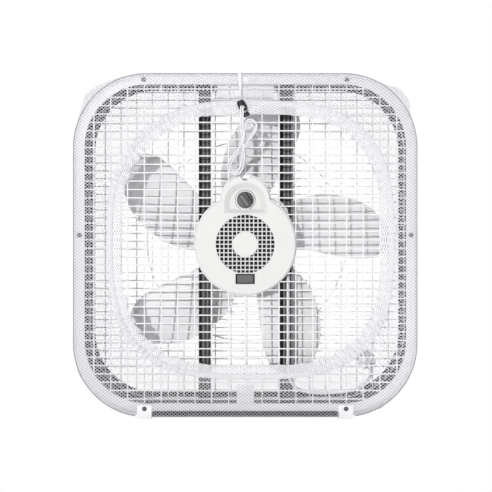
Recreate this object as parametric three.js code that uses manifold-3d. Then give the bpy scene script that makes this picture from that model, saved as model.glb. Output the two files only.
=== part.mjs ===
// A box fan: a rounded-square steel housing with front and rear grilles, a five-blade impeller on a
// motor held by two upright channels, a knob pod on the hub cover, block feet, and a loose net cover
// bag with a gathered hem, a drawstring and a cord lock.
// Millimetres, +Z up, the front faces -Y. The floor is z = 0.
import * as THREE from "three";
import { mergeVertices } from "three/addons/utils/BufferGeometryUtils.js";
import Module from "manifold-3d";

const wasm = await Module();
wasm.setup();

// ---- Driving dimensions ----
const gap = 0.3; // between pieces that touch
// Housing
const housingWidth = 530;
const housingHeight = 526;
const cornerRadius = 112;
const steelWall = 1.2;
const frontRimWidth = 15;
const rearRimWidth = 12;
const footLift = 8; // from the floor to the housing's underside
const rimSlot = { width: 10.5, height: 8.4 };
// Grilles: the moulding has twice as many uprights and eight times as many cross bars as these
const uprightPitch = 52.4;
const crossBarPitch = 104.4;
const barWidth = 2;
const grilleDepth = 3;
const grilleFrameWidth = 12;
const hubFrameWidth = 5;
// Hub cover, its pod, its vent and its badge
const coverRadius = 78.5;
const podRadius = 37.3;
const podRise = 68.4; // pod centre above the hub
const coverDepth = 10;
const coverWall = 2.2;
const recessDepth = 6;
const recess = { faceRadius: 32.4, floorRadius: 24.5, faceFoot: 15.2, floorFoot: 9.3, drop: 5.2 };
const ventOuterRadius = 45;
const ventInnerRadius = 20.8;
const ventPitch = 19.71; // three times the moulding's own
const ventWeb = 3.2;
const badge = { width: 30, height: 16, depth: 1.5, drop: 53.6 };
const bossRadius = 4.7;
const bossNotchRadius = 7;
// Knob and speed switch
const knobRadius = 13;
const knobSkirtRadius = 15.2;
const knobSkirtGap = 0.7;
const knobHeight = 5;
const knobGrip = { width: 9, height: 6, angle: 53 };
const switchShaftRadius = 3;
const switchBody = { width: 30, depth: 15, height: 26 };
// Motor struts
const strutSpacing = 128;
const strutWidth = 20;
const strutDepth = 14;
const strutFlare = 28;
const strutFlareLength = 24;
const strutSetback = 23; // behind the front rim
// Motor
const motorRadius = 42;
const motorLength = 32;
const motorWall = 1.2;
const shaftRadius = 4;
const bearingRadius = 10;
const bearingLength = 7;
const statorOuterRadius = 38;
const statorLength = 14;
const rotorCoreRadius = 22.8;
const airGap = 0.6;
const runningClearance = 0.05;
// Impeller
const bladeCount = 5;
const tipClearance = 27.8; // from the blade tips to the nearer housing walls
const hubMargin = 2; // hub's radius over the motor's
const hubStandoff = 2; // behind the motor
const hubLength = 25;
const shaftEnd = 6; // shaft behind the hub
const rearClearance = 9.7; // from the shaft's end to the rear grille
const bladeDepth = 36;
const bladeThickness = 2;
const bladeCamber = 5;
const bladeStart = 8.5; // degrees above +X of the first blade's mid-line
// Handle
const tray = { width: 89, rearWidth: 72, length: 48, height: 37, wall: 2 };
const grip = { depth: 16, height: 10 };
// Feet
const footSpacing = 313;
const footWidth = 23;
const footLug = 2.7;
const footRise = 21; // top of the lugs above the floor
// Fasteners
const screwRadius = 1.9;
const screwHeadRadius = 3.6;
const screwHeadHeight = 1.5;
const screwLength = 11;
const rimScrewInset = 7.4;
const topScrewSpacing = 316;
const sideScrewRise = 14;
// Supply lead and gland
const leadDiameter = 5.5;
const glandRadius = 7;
const glandInset = 65; // from the housing's side and from its underside
// Net cover
const netThickness = 0.8;
const netSideGap = 0.6;
const netFrontGap = 2.2;
const netBottom = 3.2; // lowest net above the floor
const opening = { sideMargin: 47, endMargin: 51, shiftX: 8.5, shiftZ: 6.5, power: 3 };
const casingWidth = 9;
const casingDepth = 4;
const frillWidth = 14;
const tape = { width: 7, x: -8, casingGap: 3.7, proud: 3 };
const openingSteps = 36;
// Drawstring and cord lock
const drawstringDiameter = 2.6;
const lock = { x: -4.7, width: 13, depth: 9.5, length: 17, tilt: 23.6, travel: 4 };
const tailSpread = 1.5;
const hank = { width: 24, thickness: 12, lowX: -15.9, lowDrop: 100.6, highX: 9.2, highDrop: 36.9 };

// ---- Places worked out from them ----
const hubZ = footLift + housingHeight / 2;
const podZ = hubZ + podRise;
// The housing is as deep as what is stacked in it along the shaft.
const motorStack = strutSetback + strutDepth + gap + steelWall + gap + motorLength;
const impellerStack = hubStandoff + hubLength + shaftEnd + rearClearance;
const housingDepth = motorStack + impellerStack + grilleDepth + gap + steelWall;
const rimFront = -housingDepth / 2;
const rimBack = rimFront + steelWall;
const grilleFront = rimBack + gap;
const grilleBack = grilleFront + grilleDepth;
const rearGrilleBack = -rimBack - gap;
const rearGrilleFront = rearGrilleBack - grilleDepth;
const coverBack = grilleFront - gap;
const coverFront = coverBack - coverDepth;
const recessFloor = coverFront + recessDepth;
const switchFront = recessFloor + coverWall + gap;
const strutFront = rimFront + strutSetback;
const strutBack = strutFront + strutDepth;
const plateFront = strutBack + gap;
const motorFront = plateFront + steelWall + gap;
const motorBack = motorFront + motorLength;
const impellerFront = motorBack + hubStandoff;
const impellerBack = impellerFront + hubLength;
const bladeMid = impellerFront + hubLength / 2;
const hubRadius = motorRadius + hubMargin;
const tipRadius = Math.min(housingWidth, housingHeight) / 2 - steelWall - tipClearance;
const netFrontBack = rimFront - netFrontGap;
const netFrontFace = netFrontBack - netThickness;
const netRearFace = -netFrontFace;
const openingHalfWidth = housingWidth / 2 - opening.sideMargin;
const openingHalfHeight = housingHeight / 2 - opening.endMargin;
const casingTopZ = hubZ + opening.shiftZ + openingHalfHeight;
const casingBack = netFrontFace - gap;
const casingFront = casingBack - casingDepth;

// ---- Finishes ----
const finish = (color, roughness, metalness = 0) =>
  new THREE.MeshStandardMaterial({ color, roughness, metalness });
const whitePaint = finish(0xeeeef0, 0.45, 0.1);
const whitePlastic = finish(0xf4f4f5, 0.5);
const greyPlastic = finish(0xe4e4e3, 0.55);
const darkGreyPlastic = finish(0x5d5e60, 0.5);
const blackPlastic = finish(0x141415, 0.5);
const darkSteel = finish(0x3c3d40, 0.45, 0.6);
const zincSteel = finish(0xb4b5b8, 0.35, 0.9);
const laminations = finish(0x77787c, 0.5, 0.8);
const copper = finish(0xb06a3c, 0.4, 0.9);
const bronze = finish(0xa8844c, 0.45, 0.8);
const netCloth = finish(0xf3f2f6, 0.8);
const whiteCord = finish(0xf2f1f5, 0.85);

// ---- Solids and outlines ----

// A closed geometry as a solid that can be joined and cut.
function solidOf(geometry) {
  const bare = new THREE.BufferGeometry();
  const flat = geometry.index ? geometry.toNonIndexed() : geometry;
  bare.setAttribute("position", flat.getAttribute("position"));
  const merged = mergeVertices(bare, 1e-4);
  return new wasm.Manifold(
    new wasm.Mesh({
      numProp: 3,
      vertProperties: merged.attributes.position.array,
      triVerts: new Uint32Array(merged.index.array),
    }),
  );
}

const join = (...solids) => solids.reduce((all, next) => all.add(next));
const cut = (body, ...tools) => tools.reduce((left, tool) => left.subtract(tool), body);

function pieceOf(name, solid, material, parent) {
  const { vertProperties, triVerts, numProp } = solid.getMesh();
  const geometry = new THREE.BufferGeometry();
  const points = new Float32Array((vertProperties.length / numProp) * 3);
  for (let i = 0; i < points.length / 3; i++) {
    points.set(vertProperties.subarray(i * numProp, i * numProp + 3), i * 3);
  }
  geometry.setAttribute("position", new THREE.BufferAttribute(points, 3));
  geometry.setIndex(new THREE.BufferAttribute(triVerts, 1));
  const mesh = new THREE.Mesh(geometry, material);
  mesh.name = name;
  parent.add(mesh);
  return mesh;
}

// A flat outline in X and Z, drawn about (0, 0), as a slab from yFront to yBack about (x, z).
function slab(points, yFront, yBack, x = 0, z = 0) {
  const geometry = new THREE.ExtrudeGeometry(new THREE.Shape(points), {
    depth: yBack - yFront,
    bevelEnabled: false,
  });
  geometry.rotateX(Math.PI / 2).translate(x, yBack, z);
  return solidOf(geometry);
}

function box(x0, x1, y0, y1, z0, z1) {
  const geometry = new THREE.BoxGeometry(x1 - x0, y1 - y0, z1 - z0);
  geometry.translate((x0 + x1) / 2, (y0 + y1) / 2, (z0 + z1) / 2);
  return solidOf(geometry);
}

// A round bar along Y.
function barrel(radius, yFront, yBack, sides, x = 0, z = 0) {
  const geometry = new THREE.CylinderGeometry(radius, radius, yBack - yFront, sides);
  geometry.translate(0, (yFront + yBack) / 2, 0).translate(x, 0, z);
  return solidOf(geometry);
}

const ring = (outer, inner, yFront, yBack, sides) =>
  cut(barrel(outer, yFront, yBack, sides), barrel(inner, yFront - 1, yBack + 1, sides));

// The circle round a many-sided hole in which a shaft of the same number of sides turns freely.
const runningBore = (radius, sides) => (radius + runningClearance) / Math.cos(Math.PI / sides);

function arc(cx, cz, radius, from, to, steps) {
  return Array.from({ length: steps + 1 }, (_, i) => {
    const angle = from + ((to - from) * i) / steps;
    return new THREE.Vector2(cx + radius * Math.cos(angle), cz + radius * Math.sin(angle));
  });
}

function roundedRectangle(width, height, radius, steps = 8) {
  const x = width / 2 - radius;
  const z = height / 2 - radius;
  const quarter = Math.PI / 2;
  return [
    ...arc(x, z, radius, 0, quarter, steps),
    ...arc(-x, z, radius, quarter, 2 * quarter, steps),
    ...arc(-x, -z, radius, 2 * quarter, 3 * quarter, steps),
    ...arc(x, -z, radius, 3 * quarter, 4 * quarter, steps),
  ];
}

// The housing's own outline, moved in by the inset.
const housingOutline = (inset) =>
  roundedRectangle(
    housingWidth - 2 * inset,
    housingHeight - 2 * inset,
    Math.max(cornerRadius - inset, 1),
  );

// The outline of the hub cover, moved in by the inset: a disc and a pod joined by their tangents.
function coverOutline(inset, steps = 24) {
  const lean = Math.asin((coverRadius - podRadius) / podRise);
  const low = arc(0, 0, coverRadius - inset, Math.PI - lean, 2 * Math.PI + lean, steps);
  const high = arc(0, podRise, podRadius - inset, lean, Math.PI - lean, steps / 2);
  return [...low, ...high];
}

// The net's round-cornered opening at a distance outside its casing line.
function openingOutline(offset) {
  return Array.from({ length: openingSteps }, (_, i) => {
    const angle = (2 * Math.PI * i) / openingSteps;
    const c = Math.cos(angle);
    const s = Math.sin(angle);
    const reach = (v) => Math.sign(v) * Math.abs(v) ** (2 / opening.power);
    return new THREE.Vector2(
      opening.shiftX + (openingHalfWidth + offset) * reach(c),
      opening.shiftZ + (openingHalfHeight + offset) * reach(s),
    );
  });
}

const openingRing = (outer, inner, yFront, yBack) =>
  cut(
    slab(openingOutline(outer), yFront, yBack, 0, hubZ),
    slab(openingOutline(inner), yFront - 1, yBack + 1, 0, hubZ),
  );

// A closed skin through loops of the same number of points. Each end is closed by a strip that
// zigzags between the loop's two halves.
function loft(loops) {
  const count = loops[0].length;
  const points = loops.flat();
  const faces = [];
  for (let row = 0; row < loops.length - 1; row++) {
    for (let i = 0; i < count; i++) {
      const a = row * count + i;
      const b = row * count + ((i + 1) % count);
      faces.push(a, b, b + count, a, b + count, a + count);
    }
  }
  const last = (loops.length - 1) * count;
  for (let a = 0, d = count - 1; d - a > 1; a++, d--) {
    const [b, c] = [a + 1, d - 1];
    faces.push(a, d, c, last + a, last + c, last + d);
    if (b < c) faces.push(a, c, b, last + a, last + b, last + c);
  }
  const geometry = new THREE.BufferGeometry();
  geometry.setAttribute(
    "position",
    new THREE.BufferAttribute(new Float32Array(points.flatMap((p) => p.toArray())), 3),
  );
  geometry.setIndex(faces);
  return solidOf(geometry);
}

// A round-sectioned cord through a list of points.
function cordThrough(points, diameter, steps, sides = 8) {
  const section = new THREE.Shape(arc(0, 0, diameter / 2, 0, 2 * Math.PI, sides).slice(0, -1));
  const geometry = new THREE.ExtrudeGeometry(section, {
    steps,
    bevelEnabled: false,
    extrudePath: new THREE.CatmullRomCurve3(points),
  });
  return solidOf(geometry);
}

// Front to back, the place of every rim screw: two above, two at the sides, two in the feet.
const rimScrews = [-1, 1].flatMap((side) => [
  { x: (side * topScrewSpacing) / 2, z: footLift + housingHeight - rimScrewInset, proud: 0 },
  { x: side * (housingWidth / 2 - rimScrewInset), z: hubZ + sideScrewRise, proud: 0 },
  { x: (side * footSpacing) / 2, z: footLift + rimScrewInset, proud: gap + footLug },
]);

const fan = new THREE.Group();

// ---- Housing ----
function addHousing() {
  const outer = slab(housingOutline(0), rimFront, -rimFront, 0, hubZ);
  const cavity = slab(housingOutline(steelWall), rimBack, -rimBack, 0, hubZ);
  const frontHole = slab(housingOutline(frontRimWidth), rimFront - 1, rimBack + 1, 0, hubZ);
  const rearHole = slab(housingOutline(rearRimWidth), -rimBack - 1, -rimFront + 1, 0, hubZ);
  const top = footLift + housingHeight;
  const slotZ = top - frontRimWidth / 2;
  const slot = box(
    -rimSlot.width / 2,
    rimSlot.width / 2,
    rimFront - 1,
    rimBack + 1,
    slotZ - rimSlot.height / 2,
    slotZ + rimSlot.height / 2,
  );
  const trayMouth = slab(
    [
      new THREE.Vector2(-tray.width / 2 + 5, 0),
      new THREE.Vector2(tray.width / 2 - 5, 0),
      new THREE.Vector2(tray.width / 2 - 5, 6),
      new THREE.Vector2(-tray.width / 2 + 5, 6),
    ],
    trayFront + 5,
    trayFront + tray.length - 5,
    0,
    top - 3,
  );
  const screwHoles = rimScrews.flatMap(({ x, z }) => [
    barrel(screwRadius + gap, rimFront - 1, rimBack + 1, 8, x, z),
    barrel(screwRadius + gap, -rimBack - 1, -rimFront + 1, 8, x, z),
  ]);
  const band = cut(outer, cavity, frontHole, rearHole, slot, trayMouth, ...screwHoles);
  pieceOf("housing_band", band, whitePaint, fan);
}

// ---- Grilles ----
// Uprights on the centre line and at each pitch from it, and cross bars above and below the hub.
function grilleBars(yFront, yBack) {
  const reachX = housingWidth / 2 - frontRimWidth - barWidth;
  const reachZ = housingHeight / 2 - frontRimWidth - barWidth;
  const uprights = Math.floor(reachX / uprightPitch);
  const firstCross = crossBarPitch * 0.4375;
  const crosses = Math.floor((reachZ - firstCross) / crossBarPitch) + 1;
  const bars = [];
  for (let i = -uprights; i <= uprights; i++) {
    const x = i * uprightPitch;
    bars.push(
      box(x - barWidth / 2, x + barWidth / 2, yFront, yBack, hubZ - reachZ - 3, hubZ + reachZ + 3),
    );
  }
  for (let i = 0; i < crosses; i++) {
    for (const side of [-1, 1]) {
      const z = hubZ + side * (firstCross + i * crossBarPitch);
      bars.push(box(-reachX - 3, reachX + 3, yFront, yBack, z - barWidth / 2, z + barWidth / 2));
    }
  }
  return join(...bars);
}

function grilleWithFrame(yFront, yBack) {
  const insetOut = steelWall + 0.5;
  const outline = slab(housingOutline(insetOut), yFront, yBack, 0, hubZ);
  const inside = slab(housingOutline(insetOut + grilleFrameWidth), yFront - 1, yBack + 1, 0, hubZ);
  return join(cut(outline, inside), grilleBars(yFront, yBack).intersect(outline));
}

const frameHoles = (yFront, yBack) =>
  rimScrews.map(({ x, z }) => barrel(screwRadius + gap, yFront - 1, yBack + 1, 8, x, z));

function addFrontGrille() {
  const inset = coverWall + 1.5;
  const hubFrame = slab(coverOutline(inset, 16), grilleFront, grilleBack, 0, hubZ);
  const hubHole = slab(
    coverOutline(inset + hubFrameWidth, 16),
    grilleFront - 1,
    grilleBack + 1,
    0,
    hubZ,
  );
  const boss = barrel(bossRadius, coverFront + 2, grilleBack, 12, 0, podZ + podRadius);
  const body = cut(join(grilleWithFrame(grilleFront, grilleBack), hubFrame), hubHole);
  const grille = cut(join(body, boss), ...frameHoles(grilleFront, grilleBack));
  pieceOf("front_grille", grille, whitePlastic, fan);
}

const glandX = housingWidth / 2 - glandInset;
const glandZ = footLift + glandInset;

function addRearGrille() {
  const centre = barrel(hubRadius, rearGrilleFront, rearGrilleBack, 24, 0, hubZ);
  const pad = barrel(glandRadius + 8, rearGrilleFront, rearGrilleBack, 16, glandX, glandZ);
  const padHole = barrel(glandRadius + gap, rearGrilleFront - 1, rearGrilleBack + 1, 16, glandX, glandZ);
  // A web joins the gland's pad to the cross bar nearest to it.
  const web = box(
    glandX - 2,
    glandX + 2,
    rearGrilleFront,
    rearGrilleBack,
    glandZ - crossBarPitch,
    glandZ + crossBarPitch,
  );
  const cross = box(
    glandX - uprightPitch,
    glandX + uprightPitch,
    rearGrilleFront,
    rearGrilleBack,
    glandZ - 2,
    glandZ + 2,
  ).intersect(slab(housingOutline(frontRimWidth), rearGrilleFront, rearGrilleBack, 0, hubZ));
  const webs = join(web, cross).intersect(
    slab(housingOutline(frontRimWidth - 2), rearGrilleFront, rearGrilleBack, 0, hubZ),
  );
  const grille = cut(
    join(grilleWithFrame(rearGrilleFront, rearGrilleBack), centre, pad, webs),
    padHole,
    ...frameHoles(rearGrilleFront, rearGrilleBack),
  );
  pieceOf("rear_grille", grille, whitePlastic, fan);
}

// ---- Hub cover, badge, knob and switch ----
// An arch: a half circle on a foot, from its crown's centre.
const archOutline = (radius, foot) => [
  new THREE.Vector2(-radius, -foot),
  new THREE.Vector2(radius, -foot),
  ...arc(0, 0, radius, 0, Math.PI, 10),
];

function archBlock(faceRadius, faceFoot, yFace, floorRadius, floorFoot, yFloor) {
  const at = (outline, y) =>
    outline.map((p) => new THREE.Vector3(p.x, y, podZ - recess.drop + p.y));
  return loft([
    at(archOutline(floorRadius, floorFoot), yFloor),
    at(archOutline(faceRadius, faceFoot), yFace),
  ]);
}

function ventHoles() {
  const cells = [];
  const reach = Math.ceil(ventOuterRadius / ventPitch);
  const half = (ventPitch - ventWeb) / 2;
  for (let i = -reach; i < reach; i++) {
    for (let k = -reach; k < reach; k++) {
      const x = (i + 0.5) * ventPitch;
      const z = hubZ + (k + 0.5) * ventPitch;
      cells.push(box(x - half, x + half, coverFront - 1, coverBack + 1, z - half, z + half));
    }
  }
  const annulus = cut(
    barrel(ventOuterRadius, coverFront - 1, coverBack, 32, 0, hubZ),
    barrel(ventInnerRadius, coverFront - 2, coverBack + 1, 24, 0, hubZ),
  );
  return join(...cells).intersect(annulus);
}

function addHubCover() {
  const edge = 2.5; // rounded front edge
  const face = new THREE.ExtrudeGeometry(new THREE.Shape(coverOutline(edge)), {
    depth: coverDepth - edge,
    bevelEnabled: true,
    bevelThickness: edge,
    bevelSize: edge,
    bevelSegments: 2,
  });
  face.rotateX(Math.PI / 2).translate(0, coverBack, hubZ);
  const shell = solidOf(face).intersect(
    slab(coverOutline(-1), coverFront, coverBack, 0, hubZ),
  );
  const wall = coverWall;
  const hollow = cut(
    slab(coverOutline(wall), coverFront + wall, coverBack + 1, 0, hubZ),
    archBlock(
      recess.faceRadius + wall,
      recess.faceFoot + wall,
      coverFront,
      recess.floorRadius + wall,
      recess.floorFoot + wall,
      recessFloor + wall,
    ),
    barrel(bossNotchRadius + wall, coverFront, coverBack + 2, 16, 0, podZ + podRadius),
  );
  const pocket = archBlock(
    recess.faceRadius + (recess.faceRadius - recess.floorRadius) / recessDepth,
    recess.faceFoot + (recess.faceFoot - recess.floorFoot) / recessDepth,
    coverFront - 1,
    recess.floorRadius,
    recess.floorFoot,
    recessFloor,
  );
  const badgeZ = hubZ - badge.drop;
  const badgePocket = box(
    -badge.width / 2,
    badge.width / 2,
    coverFront - 1,
    coverFront + badge.depth,
    badgeZ - badge.height / 2,
    badgeZ + badge.height / 2,
  );
  const cover = cut(
    shell,
    hollow,
    pocket,
    ventHoles(),
    badgePocket,
    barrel(knobSkirtRadius + knobSkirtGap, coverFront, coverBack + 1, 24, 0, podZ),
    barrel(bossNotchRadius, coverFront - 1, coverBack + 1, 16, 0, podZ + podRadius),
  );
  pieceOf("hub_cover", cover, greyPlastic, fan);
  const plate = box(
    -badge.width / 2 + gap,
    badge.width / 2 - gap,
    coverFront - gap,
    coverFront + badge.depth - gap,
    badgeZ - badge.height / 2 + gap,
    badgeZ + badge.height / 2 - gap,
  );
  pieceOf("badge_plate", plate, darkGreyPlastic, fan);
}

const knobBack = recessFloor + 1;
const knobDialBack = knobBack - 3;
const knobFace = knobDialBack - knobHeight;
const knobFront = knobFace - knobGrip.height;

function addKnobAndSwitch() {
  // Drawn about its own shaft and placed at the pod's centre.
  const knobGroup = new THREE.Group();
  knobGroup.position.z = podZ;
  fan.add(knobGroup);
  const skirt = barrel(knobSkirtRadius, knobDialBack, knobBack, 24);
  const dial = barrel(knobRadius, knobFace, knobDialBack, 24);
  const bar = new THREE.BoxGeometry(knobGrip.width, knobGrip.height + 2, 2 * knobRadius);
  bar.translate(0, knobFace + 1 - knobGrip.height / 2, 0);
  bar.rotateY(-THREE.MathUtils.degToRad(90 - knobGrip.angle));
  const barInDial = solidOf(bar).intersect(barrel(knobRadius - 0.4, knobFront, knobDialBack, 24));
  const shaftFront = knobFace + 2;
  const bore = barrel(switchShaftRadius + gap, shaftFront - gap, knobBack + 1, 12);
  pieceOf("speed_knob", cut(join(skirt, dial, barInDial), bore), darkGreyPlastic, knobGroup);
  const shaft = barrel(switchShaftRadius, shaftFront, switchFront + 9, 12);
  pieceOf("switch_shaft", shaft, zincSteel, knobGroup);
  const { width, depth, height } = switchBody;
  const terminals = [-1, 0, 1].map((i) =>
    box(i * 8 - 2.5, i * 8 + 2.5, switchFront + depth - 1, switchFront + depth + 5, podZ - 0.5, podZ + 0.5),
  );
  const body = cut(
    join(
      box(-width / 2, width / 2, switchFront, switchFront + depth, podZ - height / 2, podZ + height / 2),
      ...terminals,
    ),
    barrel(runningBore(switchShaftRadius, 12), switchFront - 1, switchFront + 9.5, 12, 0, podZ),
  );
  pieceOf("speed_switch", body, blackPlastic, fan);
}

// ---- Motor struts, plate and motor ----
function addStruts() {
  const low = footLift + steelWall + gap;
  const high = footLift + housingHeight - steelWall - gap;
  const half = strutWidth / 2;
  const flare = strutFlare / 2;
  for (const [name, side] of [["left_motor_strut", -1], ["right_motor_strut", 1]]) {
    const x = (side * strutSpacing) / 2;
    const channel = cut(
      box(x - half, x + half, strutFront, strutBack, low, high),
      box(
        x - half + steelWall,
        x + half - steelWall,
        strutFront - 1,
        strutBack - steelWall,
        low - 1,
        high + 1,
      ),
    );
    // The web widens to each end and turns into a foot that lies on the housing's wall.
    const ends = [[low, 1], [high, -1]].flatMap(([z, up]) => {
      const flared = [
        new THREE.Vector2(-flare, 0),
        new THREE.Vector2(flare, 0),
        new THREE.Vector2(half, up * strutFlareLength),
        new THREE.Vector2(-half, up * strutFlareLength),
      ];
      if (up < 0) flared.reverse();
      return [
        slab(flared, strutBack - steelWall, strutBack, x, z),
        box(
          x - flare,
          x + flare,
          strutFront,
          strutBack,
          Math.min(z, z + up * steelWall),
          Math.max(z, z + up * steelWall),
        ),
      ];
    });
    pieceOf(name, join(channel, ...ends), darkSteel, fan);
  }
}

function addMotor() {
  // Drawn about the shaft's own axis; the shaft, core and impeller turn together.
  const motor = new THREE.Group();
  motor.position.z = hubZ;
  fan.add(motor);
  const plateHalf = strutSpacing / 2 + strutWidth / 2;
  const screwAt = motorRadius - 7;
  const screwHoles = [-1, 1].map((side) =>
    barrel(screwRadius + gap, plateFront - 1, motorFront + motorWall + 1, 10, side * screwAt, 0),
  );
  const plate = cut(
    box(-plateHalf, plateHalf, plateFront, plateFront + steelWall, -50, 50),
    barrel(bearingRadius + 6, plateFront - 1, plateFront + steelWall + 1, 20),
    ...screwHoles,
  );
  pieceOf("motor_mount_plate", plate, darkSteel, motor);
  [-1, 1].forEach((side, i) => {
    const head = barrel(screwHeadRadius, plateFront - gap - screwHeadHeight, plateFront - gap, 10);
    const shank = barrel(screwRadius, plateFront - gap - 0.5, motorFront + motorWall + 2, 10);
    const screw = pieceOf(`motor_screw_${i + 1}`, join(head, shank), zincSteel, motor);
    screw.position.x = side * screwAt;
  });

  const shellSides = 28;
  const middle = (motorFront + motorBack) / 2;
  const cavityRadius = motorRadius - motorWall;
  const boreRadius = bearingRadius + gap;
  const frontShell = cut(
    barrel(motorRadius, motorFront, middle - gap / 2, shellSides),
    barrel(cavityRadius, motorFront + motorWall, middle + 1, shellSides),
    barrel(boreRadius, motorFront - 1, middle, 16),
    ...screwHoles,
  );
  const rearShell = cut(
    barrel(motorRadius, middle + gap / 2, motorBack, shellSides),
    barrel(cavityRadius, middle - 1, motorBack - motorWall, shellSides),
    barrel(boreRadius, middle, motorBack + 1, 16),
  );
  pieceOf("motor_front_shell", frontShell, zincSteel, motor);
  pieceOf("motor_rear_shell", rearShell, zincSteel, motor);

  const coreFront = middle - statorLength / 2;
  const coreBack = middle + statorLength / 2;
  const boreOfStator = rotorCoreRadius + airGap;
  const legRadius = (boreOfStator + statorOuterRadius) / 2;
  const legs = (grow, from, to) =>
    [0, 1, 2, 3].map((i) => {
      const angle = (Math.PI / 2) * i + Math.PI / 4;
      return barrel(
        3.5 + grow,
        from,
        to,
        8,
        legRadius * Math.cos(angle),
        legRadius * Math.sin(angle),
      );
    });
  const endTurn = 4.5;
  const statorCore = cut(
    ring(statorOuterRadius, boreOfStator, coreFront, coreBack, 24),
    ...legs(gap, coreFront - 1, coreBack + 1),
  );
  const winding = join(
    ring(legRadius + 5, legRadius - 5, coreFront - gap - endTurn, coreFront - gap, 20),
    ring(legRadius + 5, legRadius - 5, coreBack + gap, coreBack + gap + endTurn, 20),
    ...legs(0, coreFront - gap - 1, coreBack + gap + 1),
  );
  pieceOf("stator_core", statorCore, laminations, motor);
  pieceOf("stator_winding", winding, copper, motor);

  const bearingBore = runningBore(shaftRadius, 16);
  const frontBearing = ring(bearingRadius, bearingBore, motorFront - gap, motorFront + bearingLength, 16);
  const rearBearing = ring(bearingRadius, bearingBore, motorBack - bearingLength, motorBack + gap, 16);
  pieceOf("front_bearing", frontBearing, bronze, motor);
  pieceOf("rear_bearing", rearBearing, bronze, motor);

  const capacitor = box(-17, 17, strutFront, plateFront - gap, podRise - 38, podRise - 18);
  pieceOf("run_capacitor", capacitor, blackPlastic, motor);

  // Rotor
  const shaft = barrel(shaftRadius, plateFront - 3, impellerBack + shaftEnd, 16);
  pieceOf("rotor_shaft", shaft, zincSteel, motor);
  const core = ring(rotorCoreRadius, shaftRadius + gap, coreFront, coreBack, 24);
  pieceOf("rotor_core", core, laminations, motor);
  pieceOf("impeller", impeller(), whitePlastic, motor);
  const clipFront = impellerBack + gap;
  pieceOf("impeller_clip", ring(8, shaftRadius + gap, clipFront, clipFront + 2.5, 16), zincSteel, motor);
}

// One blade is a paddle: its lower edge runs almost straight out from the hub and lies to the
// rear, and its upper edge sweeps in to the tip. Each station is radius, lower and upper angle.
function bladeStations() {
  const root = hubRadius - 1.2;
  const share = (part) => root + (tipRadius - root) * part;
  return [
    [share(0), -16, 36],
    [share(0.25), -16, 34],
    [share(0.5), -17, 26],
    [share(0.75), -17, 14],
    [share(0.93), -15, 6],
    [share(1), -9, -3],
  ];
}

function impeller() {
  const steps = 3;
  const stations = bladeStations();
  const loops = stations.map(([radius, lower, upper]) => {
    const at = (u, offset) => {
      const angle = THREE.MathUtils.degToRad(lower + (upper - lower) * u);
      const bow = bladeCamber * (1 - (2 * u - 1) ** 2);
      const y = bladeMid + (bladeDepth / 2) * (1 - 2 * u) + bow + offset;
      return new THREE.Vector3(radius * Math.cos(angle), y, radius * Math.sin(angle));
    };
    const us = Array.from({ length: steps + 1 }, (_, i) => i / steps);
    const rear = us.map((u) => at(u, bladeThickness / 2));
    const front = us.map((u) => at(u, -bladeThickness / 2)).reverse();
    return [...rear, ...front];
  });
  const turn = new THREE.Matrix4();
  const blades = Array.from({ length: bladeCount }, (_, i) => {
    turn.makeRotationY(-THREE.MathUtils.degToRad(bladeStart) - (2 * Math.PI * i) / bladeCount);
    return loft(loops.map((loop) => loop.map((p) => p.clone().applyMatrix4(turn))));
  });
  const hub = cut(
    barrel(hubRadius, impellerFront, impellerBack, 24),
    barrel(hubRadius - 2.5, impellerFront + 3, impellerBack + 1, 24),
  );
  const boss = barrel(10, impellerFront, impellerBack, 16);
  const inner = barrel(hubRadius - 2.5, impellerFront + 3, impellerBack + 20, 24);
  const bore = barrel(shaftRadius + gap, impellerFront - 1, impellerBack + 1, 16);
  return cut(join(cut(join(...blades), inner), hub, boss), bore);
}

// ---- Handle ----
const trayFront = rimFront + 9;
const trayTop = footLift + housingHeight - steelWall - gap;
const trayBottom = trayTop - tray.height;

function addHandle() {
  const plan = (inset) => [
    [-tray.width / 2 + inset, trayFront + inset],
    [tray.width / 2 - inset, trayFront + inset],
    [tray.rearWidth / 2 - inset, trayFront + tray.length - inset],
    [-tray.rearWidth / 2 + inset, trayFront + tray.length - inset],
  ];
  const block = (inset, z0, z1) =>
    loft([z0, z1].map((z) => plan(inset).map(([x, y]) => new THREE.Vector3(x, y, z))));
  const shell = cut(block(0, trayBottom, trayTop), block(tray.wall, trayBottom + tray.wall, trayTop + 1));
  pieceOf("handle_tray", shell, whitePlastic, fan);
  const gripY = trayFront + tray.length / 2;
  // Half the tray's inner width at the grip's rear face, where it is the narrower.
  const taper = (tray.width - tray.rearWidth) / 2 / tray.length;
  const reach = tray.width / 2 - taper * (tray.length / 2 + grip.depth / 2) - tray.wall - 2 * gap;
  const bar = box(
    -reach,
    reach,
    gripY - grip.depth / 2,
    gripY + grip.depth / 2,
    trayTop - grip.height,
    trayTop,
  );
  pieceOf("handle_grip", bar, whitePlastic, fan);
}

// ---- Feet, tab and screws ----
const footTop = footLift - gap;
const lugFront = rimFront - gap - footLug;

function addFeet() {
  for (const [name, side] of [["left_foot", -1], ["right_foot", 1]]) {
    const x = (side * footSpacing) / 2;
    const half = footWidth / 2;
    const holeZ = footLift + rimScrewInset;
    const foot = cut(
      join(
        box(x - half, x + half, lugFront, -lugFront, 0, footTop),
        box(x - half, x + half, lugFront, lugFront + footLug, footTop - 1, footRise),
        box(x - half, x + half, -lugFront - footLug, -lugFront, footTop - 1, footRise),
      ),
      barrel(screwRadius + gap, lugFront - 1, -lugFront + 1, 8, x, holeZ),
    );
    pieceOf(name, foot, whitePlastic, fan);
  }
}

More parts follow.
